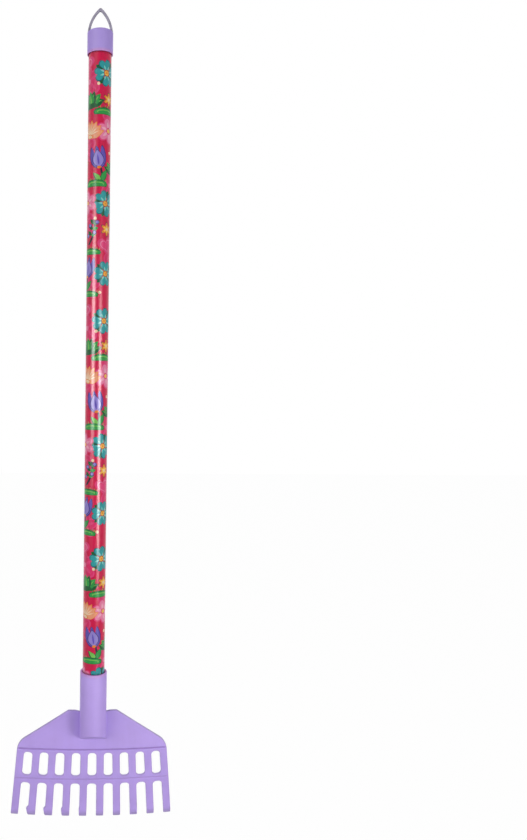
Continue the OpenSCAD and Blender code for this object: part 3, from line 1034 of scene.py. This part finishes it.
def spread_end(angle):
    """Where a rib that spreads from the hub at an angle to the vertical meets the fold's rib."""
    return [np.tan(np.radians(angle)) * (hub_z - rib_z), rib_z]


ribs = [rib("rib_fold", [-rib_end_x, rib_z], [rib_end_x, rib_z], rib_run_out, steps=96)]
for label, angle in (("steep_right", 38), ("steep_left", -38), ("flat_right", 63), ("flat_left", -63)):
    ribs.append(rib("rib_" + label, [0, hub_z], spread_end(angle)))

# %% [markdown]
# The pins that push a moulding out of its mould leave shallow round marks behind it. Each is a flat
# disc with a soft edge that stands a tenth of a millimetre proud, laid on the back of the sheet. All
# six are one piece, and their faces are those of one disc with its point numbers moved on.

# %% Ejector marks
pin_r, pin_h, pin_sunk = 2.3, 0.14, 0.3
# Places on the back, across the head and above the fold
pin_places = np.array([(-58, 9), (58, 9), (-30, 23), (30, 23), (-14, 6), (14, 6)])


def pin_rings(steps=40):
    """Discs on the back: their heights follow 1 - (r / R)^8, and they sink into the sheet below."""
    a = np.linspace(0, 2 * np.pi, steps, endpoint=False)
    share_r = np.array([0, 0.5, 0.85, 0.93, 0.98, 1.0, 1.0, 0.0])[:, None]
    lift = pin_h * (1 - share_r ** 8)
    lift[-2:] = -pin_sunk
    x = pin_places[:, 0, None, None] + pin_r * share_r * np.sin(a)
    z = fold_z + pin_places[:, 1, None, None] + pin_r * share_r * np.cos(a)
    return on_sheet(x, z, sheet_thickness(z) + lift + 0 * x)


rings = pin_rings()
pin_count, ring_count, ring_points, _ = rings.shape
first_points = np.arange(pin_count) * ring_count * ring_points
pin_faces = (ring_faces(ring_count, ring_points) + first_points[:, None, None]).reshape(-1, 4)
pins = add_piece("ejector_marks", rings.reshape(-1, 3), [pin_faces], lilac_head)

# %% [markdown]
# A screw through the back of the socket keeps the handle in. Under its head the wall is thickened to a
# low round boss. It is turned like a pot too, but lies on its side: its axis runs along y.

# %% Boss for the screw
screw_z = (screw_low[2] + screw_high[2]) / 2
boss_r, boss_h, boss_round, boss_sunk = 4.5, 0.8, 0.35, 3.0
hole_r, hole_chamfer, foot_flare = 1.6, 0.3, 0.6
boss_back_y = socket_r + boss_h
# Up the hole, over the rounded edge and down the wall to the flared foot, as (radius, height)
boss_profile = np.concatenate([
    [[hole_r, -boss_sunk], [hole_r, boss_h - hole_chamfer], [hole_r + hole_chamfer, boss_h]],
    corner_profile((boss_r - boss_round, boss_h - boss_round), boss_round),
    [[boss_r, -0.4], [boss_r + foot_flare, -1.6], [boss_r + foot_flare, -boss_sunk]]])
x, y, z = np.moveaxis(turned(boss_profile, 64), -1, 0)
boss_rings = np.stack([x, socket_r + z, screw_z + y], -1)
boss = add_rings("screw_boss", boss_rings, lilac_head, close_rings=True)

# %% [markdown]
# ## The end cap and its loop
#
# The cap is a turned cup with a closed top, a rounded upper edge and a fine lip at its rim. The mould
# leaves a small raised spot in the middle of the top, where the plastic flowed in.

# %% Cap
cap_top_z = cap_rim_z + 21.0
cap_top_t, cap_edge_r, cap_lip_r = 1.8, 1.1, 0.35
lip_middle = cap_lip_r * 0.29
cap_inside_z = cap_top_z - cap_top_t
# Up the bore from the middle, round the lip and up the wall, as (radius, height)
cap_wall = [[0, cap_inside_z], [seat_r, cap_inside_z], [seat_r, cap_rim_z + 0.8],
            [seat_r + 0.25, cap_rim_z + 0.1], [seat_r + 0.35, cap_rim_z],
            [cap_r - cap_lip_r, cap_rim_z], [cap_r - lip_middle, cap_rim_z + lip_middle],
            [cap_r, cap_rim_z + cap_lip_r], [cap_r, cap_rim_z + 1.2],
            [cap_r, cap_top_z - cap_edge_r - 1]]
cap_shoulder = corner_profile((cap_r - cap_edge_r, cap_top_z - cap_edge_r), cap_edge_r, 9)[::-1]
# Across the top and over the spot in its middle
cap_middle = [[cap_r - 3, cap_top_z + 0.02], [1.4, cap_top_z + 0.05], [1.2, cap_top_z + 0.05],
              [0.9, cap_top_z + 0.25], [0, cap_top_z + 0.28]]
cap_profile = np.concatenate([cap_wall, cap_shoulder, cap_middle])
cap = add_rings("cap_cup", turned(cap_profile, 144), lilac_cap, close_rings=True)

# %% [markdown]
# The loop is a flat band bent into a pointed arch. Both of its sides are arcs of a circle, and the
# point is rounded. A curve with a bevel would give the same section everywhere. Here the inner and the
# outer line are two formulas, so the band can swell into fillets at its feet, which run into the cap.
# Its section is a soft rectangle: a circle whose sine and cosine are drawn out to a lower power.

# %% Hanging loop
loop_t, loop_band, loop_arc_r = 3.0, 2.3, 34.0
loop_point_r, loop_eye_r = 2.0, 1.5
foot_depth, foot_fillet, foot_fade = 2.5, 1.3, 1.2
section_power, spring_below_top = 0.55, 3.01
loop_half_w = np.sqrt(cap_r ** 2 - loop_t ** 2 / 4)
arc_offset = loop_arc_r - loop_half_w
spring_z = cap_top_z - spring_below_top


def arch(arc_r, point_r, steps=40):
    """Half of a pointed arch from its spring up to its middle: an arc about a centre at the far
    side, then the arc that rounds the point. Returned as (x, z) points, evenly spread on each."""
    rise = np.sqrt((arc_r - point_r) ** 2 - arc_offset ** 2)
    tangent = np.arctan2(rise, arc_offset)
    a = np.linspace(0, tangent, steps)
    side = np.stack([arc_r * np.cos(a) - arc_offset, arc_r * np.sin(a)], -1)
    b = np.linspace(tangent, np.pi / 2, steps // 3)[1:]
    point = np.stack([point_r * np.cos(b), rise + point_r * np.sin(b)], -1)
    return np.concatenate([side, point]) + [0, spring_z]


def whole_arch(half):
    """The half arch with a foot that goes into the cap, and then its mirror image."""
    half = np.concatenate([[half[0] - [0, foot_depth]], half])
    return np.concatenate([half, half[-2::-1] * [-1, 1]])


def loop_rings(steps=24):
    """Section carried along both lines of the arch: |cos a|^p across the band, |sin a|^p through it."""
    outer, inner = arch(loop_arc_r, loop_point_r), arch(loop_arc_r - loop_band, loop_eye_r)
    inner[:, 0] -= foot_fillet * np.exp(-((inner[:, 1] - cap_top_z) / foot_fade).clip(0))
    outer, inner = whole_arch(outer), whole_arch(inner)
    a = np.linspace(0, 2 * np.pi, steps, endpoint=False)
    across = np.sign(np.cos(a)) * np.abs(np.cos(a)) ** section_power
    through = np.sign(np.sin(a)) * np.abs(np.sin(a)) ** section_power
    middle, half_band = (outer + inner)[:, None] / 2, (outer - inner)[:, None] / 2
    x, z = np.moveaxis(middle + half_band * across[:, None], -1, 0)
    return np.stack([x, loop_t / 2 * through + 0 * x, z], -1)


loop = add_rings("hanging_loop", loop_rings(), lilac_loop, end_faces=True)

# %% [markdown]
# ## The printed film
#
# The handle's film is crimson with a bright print of flowers. A picture wrapped round the tube would
# blur from near. So the print is drawn flat, in millimetres round the handle and along it, as closed
# outlines that lie on each other like paper cut-outs. Each cut-out is in one of these inks.

# %% Inks
inks = {"ground": (214, 12, 74), "cerise": (222, 40, 102), "rose": (228, 62, 122),
        "blush": (238, 128, 168), "shell": (246, 176, 196), "teal": (44, 158, 162),
        "deep_teal": (16, 96, 112), "mint": (128, 206, 198), "violet": (100, 82, 184),
        "plum": (58, 42, 112), "lavender": (150, 134, 214), "leaf": (44, 156, 70),
        "moss": (20, 92, 48), "lime": (122, 196, 86), "night": (36, 26, 48), "orange": (236, 136, 44),
        "sun": (250, 200, 84), "cream": (248, 214, 178), "peach": (242, 160, 120)}
ink_names = list(inks)
print("inks:", len(inks))

# %% [markdown]
# All motifs are put together from a few simple shapes. Each is about one unit in size, and comes from a
# formula in an angle or in the way along it, so that its curves are smooth without drawing them.


# %% Simple shapes
def blossom(petals, depth, blunt=1.0, points=32):
    """Outline with radius 1 - depth + depth |cos(n a / 2)|^blunt, largest at each petal's middle."""
    a = np.linspace(0, 2 * np.pi, points, endpoint=False)
    r = 1 - depth + depth * np.abs(np.cos(petals * a / 2)) ** blunt
    return r[:, None] * np.stack([np.sin(a), np.cos(a)], -1)


def heart():
    """Heart: 16 sin^3 a across, 13 cos a - 5 cos 2a - 2 cos 3a - cos 4a up."""
    a = np.linspace(0, 2 * np.pi, 40, endpoint=False)
    up = 13 * np.cos(a) - 5 * np.cos(2 * a) - 2 * np.cos(3 * a) - np.cos(4 * a)
    return np.stack([16 * np.sin(a) ** 3, up + 2.5], -1) / 16


def leaf(width):
    """Leaf from 0 to 1 along its length, with half width that grows and shrinks as sin(pi t^0.8)."""
    t = np.linspace(0, 1, 15)
    side = np.stack([width * np.sin(np.pi * t ** 0.8), t], -1)
    return np.concatenate([side, side[-2:0:-1] * [-1, 1]])


def tulip():
    """Cup with a round foot and three points: the top edge is |cos(3 pi x / 2)| across the cup."""
    x = np.linspace(-1, 1, 31)
    top = np.stack([x, 0.15 + 0.75 * np.abs(np.cos(1.5 * np.pi * x)) ** 0.9], -1)
    foot = np.stack([x[::-1], -0.9 * np.sqrt(1 - x[::-1] ** 2)], -1)[1:-1]
    return np.concatenate([top, foot]) * [0.72, 1]


def stem(bend, half_width):
    """Thin strip from 0 down to -1 that bows sideways by bend."""
    t = np.linspace(0, 1, 12)
    x = bend * np.sin(np.pi * t)
    return np.concatenate([np.stack([x + half_width, -t], -1),
                           np.stack([x - half_width, -t], -1)[::-1]])


def hill():
    """Half ellipse on a flat foot."""
    t = np.linspace(-np.pi / 2, np.pi / 2, 29)
    return np.concatenate([np.stack([np.sin(t), 0.36 * np.cos(t)], -1), [[0.9, -0.2], [-0.9, -0.2]]])


disc = blossom(2, 0.0)
round_petal = disc * [0.78, 1.0]
print("a disc has", len(disc), "points, a heart", len(heart()), "and a leaf", len(leaf(1)))

# %% [markdown]
# Each motif is a short recipe: shapes with an ink, a size, a shift and a turn, from the bottom layer
# to the top one. A darker shape under each lighter one gives it an outline, as printed flowers have.


# %% Cut-outs
def moved(outline, size, shift, turn):
    """An outline scaled, turned by degrees and shifted."""
    a = np.radians(turn)
    spin = np.array([[np.cos(a), -np.sin(a)], [np.sin(a), np.cos(a)]])
    return (outline * size) @ spin.T + shift


def layer(outline, ink, size, shift=(0, 0), turn=0):
    """One cut-out: its ink and its outline."""
    return ink, moved(outline, size, shift, turn)


def around(outline, count, ink, size, away, turn=0.0):
    """Copies of a cut-out evenly round a centre, each pointing outwards."""
    return [layer(outline, ink, size, (-away * np.sin(np.radians(a)), away * np.cos(np.radians(a))), a)
            for a in turn + 360 / count * np.arange(count)]


print("one cut-out:", layer(disc, "sun", 0.5)[0], "with", len(layer(disc, "sun", 0.5)[1]), "points")

# %% [markdown]
# Six flowers carry the print. Two of them are in quiet tones next to the ground, because flat prints
# look deeper when large pale shapes lie behind the bright ones.


# %% Flowers
def clover_flower():
    """Teal flower of four hearts with pale veins, small leaves and an orange eye."""
    return [*around(leaf(0.32), 4, "moss", 0.62, 0.42, 45),
            *around(heart(), 4, "deep_teal", 0.52, 0.50), *around(heart(), 4, "teal", 0.45, 0.50),
            *around(leaf(0.16), 8, "mint", 0.44, 0.16, 11.25), layer(disc, "night", 0.25),
            layer(disc, "orange", 0.22), *around(disc, 6, "sun", 0.05, 0.12)]


def tulip_flower():
    """Violet tulip with a dark stem, two leaves and a pale middle petal."""
    return [layer(stem(0.10, 0.055), "night", 1.5, (0, -0.4)),
            layer(leaf(0.24), "moss", 1.10, (0.02, -1.9), -34),
            layer(leaf(0.20), "leaf", 0.98, (0.04, -1.86), -34),
            layer(leaf(0.24), "moss", 0.98, (0.0, -1.9), 36),
            layer(leaf(0.20), "lime", 0.84, (0.0, -1.84), 36),
            layer(tulip(), "plum", 0.98), layer(tulip(), "violet", 0.90),
            layer(leaf(0.34), "plum", 1.44, (0, -0.80)),
            layer(leaf(0.32), "lavender", 1.34, (0, -0.76)),
            layer(leaf(0.08), "violet", 0.9, (0, -0.62)),
            layer(disc * [1.6, 1], "orange", 0.11, (0, -0.78))]


def shell_flower():
    """Peach fan of seven rounded rays with an orange rim, cream lines and a cream foot."""
    rays = [layer(leaf(0.25), ink, size, (0, -0.55), a)
            for ink, size in (("orange", 1.5), ("peach", 1.38)) for a in (-60, 60, -40, 40, -20, 20, 0)]
    lines = [layer(leaf(0.05), "cream", 1.0, (0, -0.4), a) for a in range(-60, 61, 20)]
    return [*rays, *lines, layer(disc * [1.3, 0.8], "orange", 0.26, (0, -0.52)),
            layer(disc * [1.3, 0.8], "cream", 0.19, (0, -0.52))]


def blush_blossom():
    """Large soft pink flower of six round petals, near in tone to the ground."""
    return [*around(round_petal, 6, "rose", 0.46, 0.56), *around(round_petal, 6, "blush", 0.36, 0.54),
            *around(leaf(0.2), 6, "shell", 0.5, 0.18), layer(disc, "rose", 0.24),
            layer(disc, "sun", 0.15)]


def shadow_bloom():
    """Very large flower of five petals in two tones next to the ground, for the bottom layer."""
    return [*around(round_petal, 5, "rose", 0.5, 0.5), *around(round_petal, 5, "cerise", 0.4, 0.48),
            *around(leaf(0.14), 5, "rose", 0.7, 0.1), layer(disc, "blush", 0.16)]


def star_flower():
    """Orange star with six points, a dark rim and a yellow middle."""
    star = blossom(6, 0.5, 1.6, 60)
    return [layer(star, "night", 1.06), layer(star, "orange", 0.96), layer(star, "sun", 0.60),
            layer(disc, "cream", 0.2)]


print("a clover flower is", len(clover_flower()), "cut-outs, a tulip", len(tulip_flower()))

# %% [markdown]
# Leaves, hills, hearts, berries and dots fill the spaces between the flowers.


# %% Leaves and small motifs
def leaf_fan():
    """Fan of seven leaves of grass, each with a light rib, and a foot that hides where they meet."""
    cuts = []
    for a, ink in ((-74, "moss"), (74, "moss"), (-48, "leaf"), (48, "leaf"), (-20, "moss"),
                   (20, "moss"), (0, "leaf")):
        cuts += [layer(leaf(0.26), ink, 1.15, (0, -0.45), a),
                 layer(leaf(0.07), "lime", 0.85, (-0.1 * np.sin(np.radians(a)), -0.38), a)]
    return [*cuts, layer(disc * [1.5, 0.7], "moss", 0.3, (0, -0.42))]


def meadow():
    """Low green hill with a dark rim and a light crest, and short blades of grass behind it."""
    blades = [layer(leaf(0.10), ink, 0.42, (x, 0.12 - 0.2 * x * x), -30 * x)
              for x, ink in zip(np.linspace(-0.75, 0.75, 9), ("moss", "leaf", "lime") * 3)]
    return [*blades, layer(hill(), "moss", 1.0), layer(hill() * [0.93, 0.78], "leaf", 1.0),
            layer(hill() * [0.7, 0.42], "lime", 1.0, (0, 0.03)),
            layer(hill() * [0.62, 0.3], "leaf", 1.0)]


def shade_heart():
    """Plain rose heart, close to the ground colour, with a blush line inside."""
    return [layer(heart(), "rose", 1.0), layer(heart(), "blush", 0.74), layer(heart(), "rose", 0.64)]


def berry_sprig():
    """Dark curved sprig with small leaves, and berries in turn at its right and left."""
    cuts = [layer(stem(0.12, 0.045), "night", 2.2, (0, 1.1))]
    for k in range(3):
        cuts += [layer(leaf(0.3), ink, 0.55, (0.06, 0.75 - 0.5 * k), turn)
                 for ink, turn in (("leaf", -58), ("moss", 58))]
    for k in range(4):
        cuts += [layer(disc, "plum", 0.19, (0.3 * (-1) ** k, 0.95 - 0.45 * k)),
                 layer(disc, "lavender", 0.13, (0.3 * (-1) ** k, 0.97 - 0.45 * k))]
    return cuts


def dot():
    """Cream dot."""
    return [layer(disc, "cream", 1.0)]


print("a fan of leaves is", len(leaf_fan()), "cut-outs, a meadow", len(meadow()))

# %% [markdown]
# The places of the motifs on one repeat of the print are listed: big flowers in two quiet tones at
# the bottom, then the bright ones in staggered rows, and small ones in the spaces between them. A
# motif that crosses the back seam is drawn at both sides of it, so the pattern meets itself there.

# %% Places of the motifs
# Place round the handle from the back seam, place along one repeat, size, turn
shadow_places = [(22, 24, 15, 10), (50, 60, 14, -8), (18, 88, 15, 20), (47, 120, 15, 0),
                 (17, 156, 14, 12), (52, 184, 15, -14), (24, 216, 13, 0), (0, 50, 14, 0),
                 (2, 124, 14, 9), (66, 156, 13, 0), (68, 14, 13, 0), (0, 196, 14, 0)]
bright_places = [
    (shade_heart, 19, 8, 9, -12), (clover_flower, 41, 17, 12.5, 12), (tulip_flower, 63, 28, 10.5, -6),
    (meadow, 62, 50, 11, 0), (leaf_fan, 25, 42, 12.5, 8), (star_flower, 44, 41, 6.5, 0),
    (dot, 33, 27, 1.5, 0), (meadow, 40, 53, 12, 0), (blush_blossom, 44, 70, 12.5, 10),
    (berry_sprig, 8, 68, 10, 14), (shell_flower, 25, 70, 10.5, -10), (clover_flower, 62, 82, 12, 50),
    (tulip_flower, 33, 95, 12, 8), (star_flower, 15, 98, 6, 20), (dot, 46, 90, 1.5, 0),
    (leaf_fan, 51, 104, 11, -10), (meadow, 31, 120, 12, 0), (shade_heart, 6, 116, 10.5, 10),
    (shell_flower, 64, 124, 10, 24), (clover_flower, 41, 138, 12.5, 30),
    (blush_blossom, 21, 137, 11.5, 0), (tulip_flower, 60, 150, 11, 10), (dot, 31, 152, 1.5, 0),
    (leaf_fan, 8, 158, 11, -14), (meadow, 58, 174, 11.5, 0), (berry_sprig, 27, 165, 11, -16),
    (star_flower, 43, 162, 6.5, 0), (shade_heart, 43, 178, 9, 14), (meadow, 26, 184, 11, 0),
    (blush_blossom, 3, 188, 12, 24), (shell_flower, 61, 191, 10, -14),
    (tulip_flower, 23, 198, 11.5, -12), (dot, 50, 194, 1.5, 0), (clover_flower, 42, 204, 12, 0),
    (leaf_fan, 61, 218, 11.5, 10), (meadow, 24, 224, 11, 0), (star_flower, 10, 218, 6, 8),
    (dot, 36, 222, 1.5, 0)]
places = [(shadow_bloom, *where) for where in shadow_places] + bright_places
repeat_h, print_start, film_margin = 232.0, 20.0, 6.0
film_w = 2 * np.pi * film_r
film_z0, film_z1 = film_low[2], film_high[2]


def print_outlines():
    """All cut-outs on the flat film, repeated along it and across the back seam, bottom layer first."""
    cuts = []
    for n in range(int(np.ceil((film_z1 - film_z0) / repeat_h)) + 1):
        for motif, u, v, size, turn in places:
            shift = [u, film_z1 - print_start - n * repeat_h - v]
            for ink, outline in motif():
                flat = moved(outline, size, shift, turn)
                if flat[:, 1].min() < film_z0 + film_margin or flat[:, 1].max() > film_z1 - film_margin:
                    continue
                cuts.append((ink, flat))
                if flat[:, 0].min() < 0:
                    cuts.append((ink, flat + [film_w, 0]))
                if flat[:, 0].max() > film_w:
                    cuts.append((ink, flat - [film_w, 0]))
    return cuts


cutouts = print_outlines()
print("cut-outs on the film:", len(cutouts))

# %% [markdown]
# Shrink film is printed at its back, so its gloss lies over the ink like a clear coat. The inks are a
# little speckled, and fine streaks run along the handle, where the film was drawn. Ripples from the
# shrinking bend the reflections, and scratches break the gloss. Close to the two rims it is in shade.

# %% Material of the film
speckle_waves, streak_waves, ripple_waves, film_scratch_waves = 1400.0, 260.0, 70.0, 160.0
film_scratch_amount = 0.2
film_rough, film_coat = 0.38, 0.95
ripple_strength, ripple_depth = 0.12, 0.0003
rim_shade, rim_shade_reach = 0.45, 0.0022

film_material, tree, shader = new_material(
    "printed_film", IOR=1.5, Coat_Roughness=0.24, Coat_IOR=1.4, Specular_IOR_Level=0.03)
place = object_place(tree)
speckle = varied(tree, noise(tree, place, speckle_waves, 2.0), 0.94, 1.0)
streaks = varied(tree, noise(tree, place, streak_waves, 3.0, along_z=0.05), -0.05, 0.05)
colour = scaled(tree, attribute(tree, "ink")["Color"], maths(tree, "ADD", speckle, streaks))

height = height_of(tree, place)
cap_shade = remapped(tree, height, cap_rim_z * MM - rim_shade_reach, cap_rim_z * MM, 1.0, rim_shade)
socket_shade = remapped(
    tree, height, socket_rim_z * MM, socket_rim_z * MM + rim_shade_reach, rim_shade, 1.0)
colour = scaled(tree, colour, maths(tree, "MULTIPLY", cap_shade, socket_shade))

scratch = use_group(tree, scratches, Scale=film_scratch_waves, Amount=film_scratch_amount)["Mask"]
ripple = noise(tree, place, ripple_waves, 2.0, along_z=0.25)
bump = add_node(tree, "ShaderNodeBump", Height=ripple, Strength=ripple_strength, Distance=ripple_depth)
feed(tree, shader, Base_Color=colour, Normal=bump.outputs[0],
     Roughness=maths(tree, "MULTIPLY_ADD", scratch, 0.6, film_rough),
     Coat_Weight=maths(tree, "MULTIPLY_ADD", scratch, -1.0, film_coat))
print("film's material:", len(tree.nodes), "nodes")

# %% [markdown]
# A constrained triangulation cuts the film along all outlines at once, and tells for each triangle
# which outlines hold it. The topmost of them gives the ink. So the print is part of the mesh, and is
# sharp from any distance.

# %% Cut the film along its print
film_step = 2.0
# The film's two edges overlap at the back, where a strip stands a little proud
seam_half, seam_soft, seam_lift = 2.0, 0.3, 0.15
net_from, net_to = 3.2, film_w - 3.0
print_precision = 1e-5


def left_turning(loop):
    """The outline in the order that keeps its inside at the left: its signed area is positive."""
    after = np.roll(loop, -1, 0)
    area = (loop[:, 0] * after[:, 1] - after[:, 0] * loop[:, 1]).sum()
    return loop if area > 0 else loop[::-1]


def cut_film():
    """Flat points of the film, its triangles, and the number of each triangle's ink."""
    seam = np.array([0, 1, seam_half, seam_half + seam_soft / 2, seam_half + seam_soft])
    columns = np.concatenate([seam, np.arange(net_from, net_to, film_step), film_w - seam[::-1]])
    rows = np.linspace(film_z0, film_z1, int((film_z1 - film_z0) / film_step))
    net = np.stack(np.meshgrid(columns, rows), -1).reshape(-1, 2)
    corners = np.array([[0, film_z0], [film_w, film_z0], [film_w, film_z1], [0, film_z1]])
    loops = [corners] + [left_turning(subdivided(outline, film_step)) for _, outline in cutouts]
    starts = len(net) + np.cumsum([0] + [len(loop) for loop in loops[:-1]])
    faces = [list(range(start, start + len(loop))) for start, loop in zip(starts.tolist(), loops)]
    flat = np.concatenate([net] + loops)
    verts, _, tris, _, _, holders = delaunay_2d_cdt(flat.tolist(), [], faces, 1, print_precision)
    verts, tris = np.array(verts), np.array(tris)
    middle = verts[tris].mean(1)
    on_film = ((middle > [0, film_z0]) & (middle < [film_w, film_z1])).all(1)
    layer_inks = np.array([ink_names.index(ink) for ink in ["ground"] + [ink for ink, _ in cutouts]])
    tri_inks = layer_inks[[max(held, default=0) for held in holders]]
    return verts, tris[on_film], tri_inks[on_film]


flat, tris, tri_inks = cut_film()
print("film triangles:", len(tris))

# %% [markdown]
# The flat film is closed to a tube by making the points of its right edge those of its left edge, and
# rolled. An inner wall and two end faces give it its thickness. Its triangles differ much in size,
# which would make the gloss wavy, so each point gets the normal of the true cylinder.

# %% Roll the film
on_edge = 1e-3


def joined_at_seam(flat, tris, tri_inks):
    """The same with the two side edges made one, and without the triangles that close up there."""
    u = np.where(flat[:, :1] > film_w - on_edge, 0, flat[:, :1])
    flat, index = np.unique(np.round(np.concatenate([u, flat[:, 1:]], 1), 4), axis=0,
                            return_inverse=True)
    tris = index.reshape(-1)[tris]
    whole = (tris != np.roll(tris, -1, 1)).all(1)
    return flat, tris[whole], tri_inks[whole]


def rolled(flat):
    """Flat points rolled round the tube: x = -r sin a, y = r cos a, with a = u / R. Near the seam r
    is larger than R by the seam's lift."""
    a = flat[:, 0] / film_r
    from_seam = np.minimum(flat[:, 0], film_w - flat[:, 0])
    r = film_r + seam_lift * smooth_step(seam_half + seam_soft, seam_half, from_seam)
    return np.stack([-r * np.sin(a), r * np.cos(a), flat[:, 1]], -1)


flat, tris, tri_inks = joined_at_seam(flat, tris, tri_inks)
outside = rolled(flat)
end_rings = [np.flatnonzero(np.abs(flat[:, 1] - z) < on_edge) for z in (film_z0, film_z1)]
low_end, high_end = (ids[np.argsort(flat[ids, 0])] for ids in end_rings)
n = len(low_end)
inner_wall = outside[np.concatenate([low_end, high_end])] * [tube_r / film_r, tube_r / film_r, 1]
inner_ids = len(outside) + np.arange(2 * n)
walls = np.concatenate([low_end, inner_ids, high_end])[ring_faces(4, n)]

ink_table = np.array([paint_colour(*inks[name]) for name in ink_names])
film_inks = np.concatenate([tri_inks, np.full(len(walls), ink_names.index("ground"))])
film = add_piece("printed_film", np.concatenate([outside, inner_wall]), [tris, walls], film_material,
                 merge=0.001, face_inks=ink_table[film_inks])

film_points = np.empty(3 * len(film.data.vertices))
film.data.vertices.foreach_get("co", film_points)
outward = film_points.reshape(-1, 3) * [1, 1, 0]
on_inner_wall = np.linalg.norm(outward, axis=1) < (tube_r + film_r) / 2 * MM
normals = unit(outward) * np.where(on_inner_wall, -1, 1)[:, None]
film.data.normals_split_custom_set_from_vertices(normals.tolist())

# %% [markdown]
# ## The tube and the screw
#
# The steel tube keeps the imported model's own shape, because only its ends could ever show. Both it and
# the zinc-plated screw are bare metal. What tells them apart is how rough they are, and how their
# tone changes: in long lines where the tube was drawn, in small clouds where the zinc has bloomed.


# %% Metals and the tube
def bare_metal(name, waves, along_z, roughness, dark, light):
    """Metal whose roughness and tone both follow one noise, drawn out along the height."""
    material, tree, shader = new_material(name, Metallic=1.0)
    cloud = noise(tree, object_place(tree), waves, 4.0, along_z)
    feed(tree, shader, Roughness=varied(tree, cloud, *roughness),
         Base_Color=mix_colour(tree, "MIX", cloud, paint_colour(*dark), paint_colour(*light)))
    return material


tube_steel = bare_metal("tube_steel", 900.0, 0.02, (0.22, 0.42), (176, 178, 182), (206, 208, 212))
zinc_plate = bare_metal("zinc_plate", 700.0, 1.0, (0.25, 0.5), (150, 152, 160), (208, 206, 196))
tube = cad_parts["handle_tube"]
tube.data.materials.clear()
tube.data.materials.append(tube_steel)
print("tube:", tube.name, "in", tube_steel.name)

# %% [markdown]
# The screw behind the socket is a turned pan head with a cross pressed into it. A boolean would cut it
# out, but leave sharp edges. Here the cross is a formula: each point of the head sinks by how far it
# lies inside either of two crossed tapering bars, so that the edges of the cross are soft.

# %% Screw
head_r, head_h = (screw_high[0] - screw_low[0]) / 2, 2.0
shank_r = 1.45
cross_w, cross_reach, cross_depth = 0.95, 1.7, 1.3
cross_end, dome_share, dome_power = 0.9, 0.93, 0.8


def bar(along, across):
    """1 inside a bar through the middle that tapers to its ends, falling softly to 0 outside it."""
    half_width = cross_w / 2 * (1 - 0.25 * np.abs(along) / cross_reach)
    return (smooth_step(0.12, -0.05, np.abs(across) - half_width)
            * smooth_step(0.15, -0.15, np.abs(along) - cross_reach))


def screw_rings(steps=96):
    """Pan head from its middle outwards, then the shank inwards. Height above the seat is y."""
    a = np.linspace(0, 2 * np.pi, steps, endpoint=False)[None]
    share_r = np.concatenate([np.linspace(0, 0.92, 30), [0.96, 0.99, 1.0, 1.0]])
    top = head_h * np.sqrt(1 - (share_r * dome_share) ** 2) ** dome_power
    top[-2:] = [head_h * 0.28, 0.05]
    x, z = (head_r * share_r[:, None] * wave for wave in (np.sin(a), np.cos(a)))
    sink = cross_depth * np.maximum(bar(x, z), bar(z, x)) * (share_r[:, None] < cross_end)
    shank = np.array([[shank_r, 0.0], [shank_r, -7.0], [0.25, -9.8], [0.0, -9.9]])
    x = np.concatenate([x, shank[:, :1] * np.sin(a)])
    y = np.concatenate([top[:, None] - sink, shank[:, 1:] + 0 * a])
    z = np.concatenate([z, shank[:, :1] * np.cos(a)])
    return np.stack([x, boss_back_y + y, screw_z + z], -1)


screw = add_rings("cross_head_screw", screw_rings(), zinc_plate)

# %% [markdown]
# ## Join the pieces to the imported model
#
# Every piece rides on the one rigid body. The new pieces stand for the nodes that they replace, and
# the tube's own node stays in view.

# %% Bodies and replaced nodes
head_pieces = [sheet, socket, boss, pins, *ribs]
for piece in head_pieces:
    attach(piece, "root")
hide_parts("rake_head")
for piece in (cap, loop):
    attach(piece, "root")
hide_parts("end_cap")
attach(film, "root")
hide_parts("printed_sleeve")
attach(screw, "root")
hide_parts("fixing_screw")
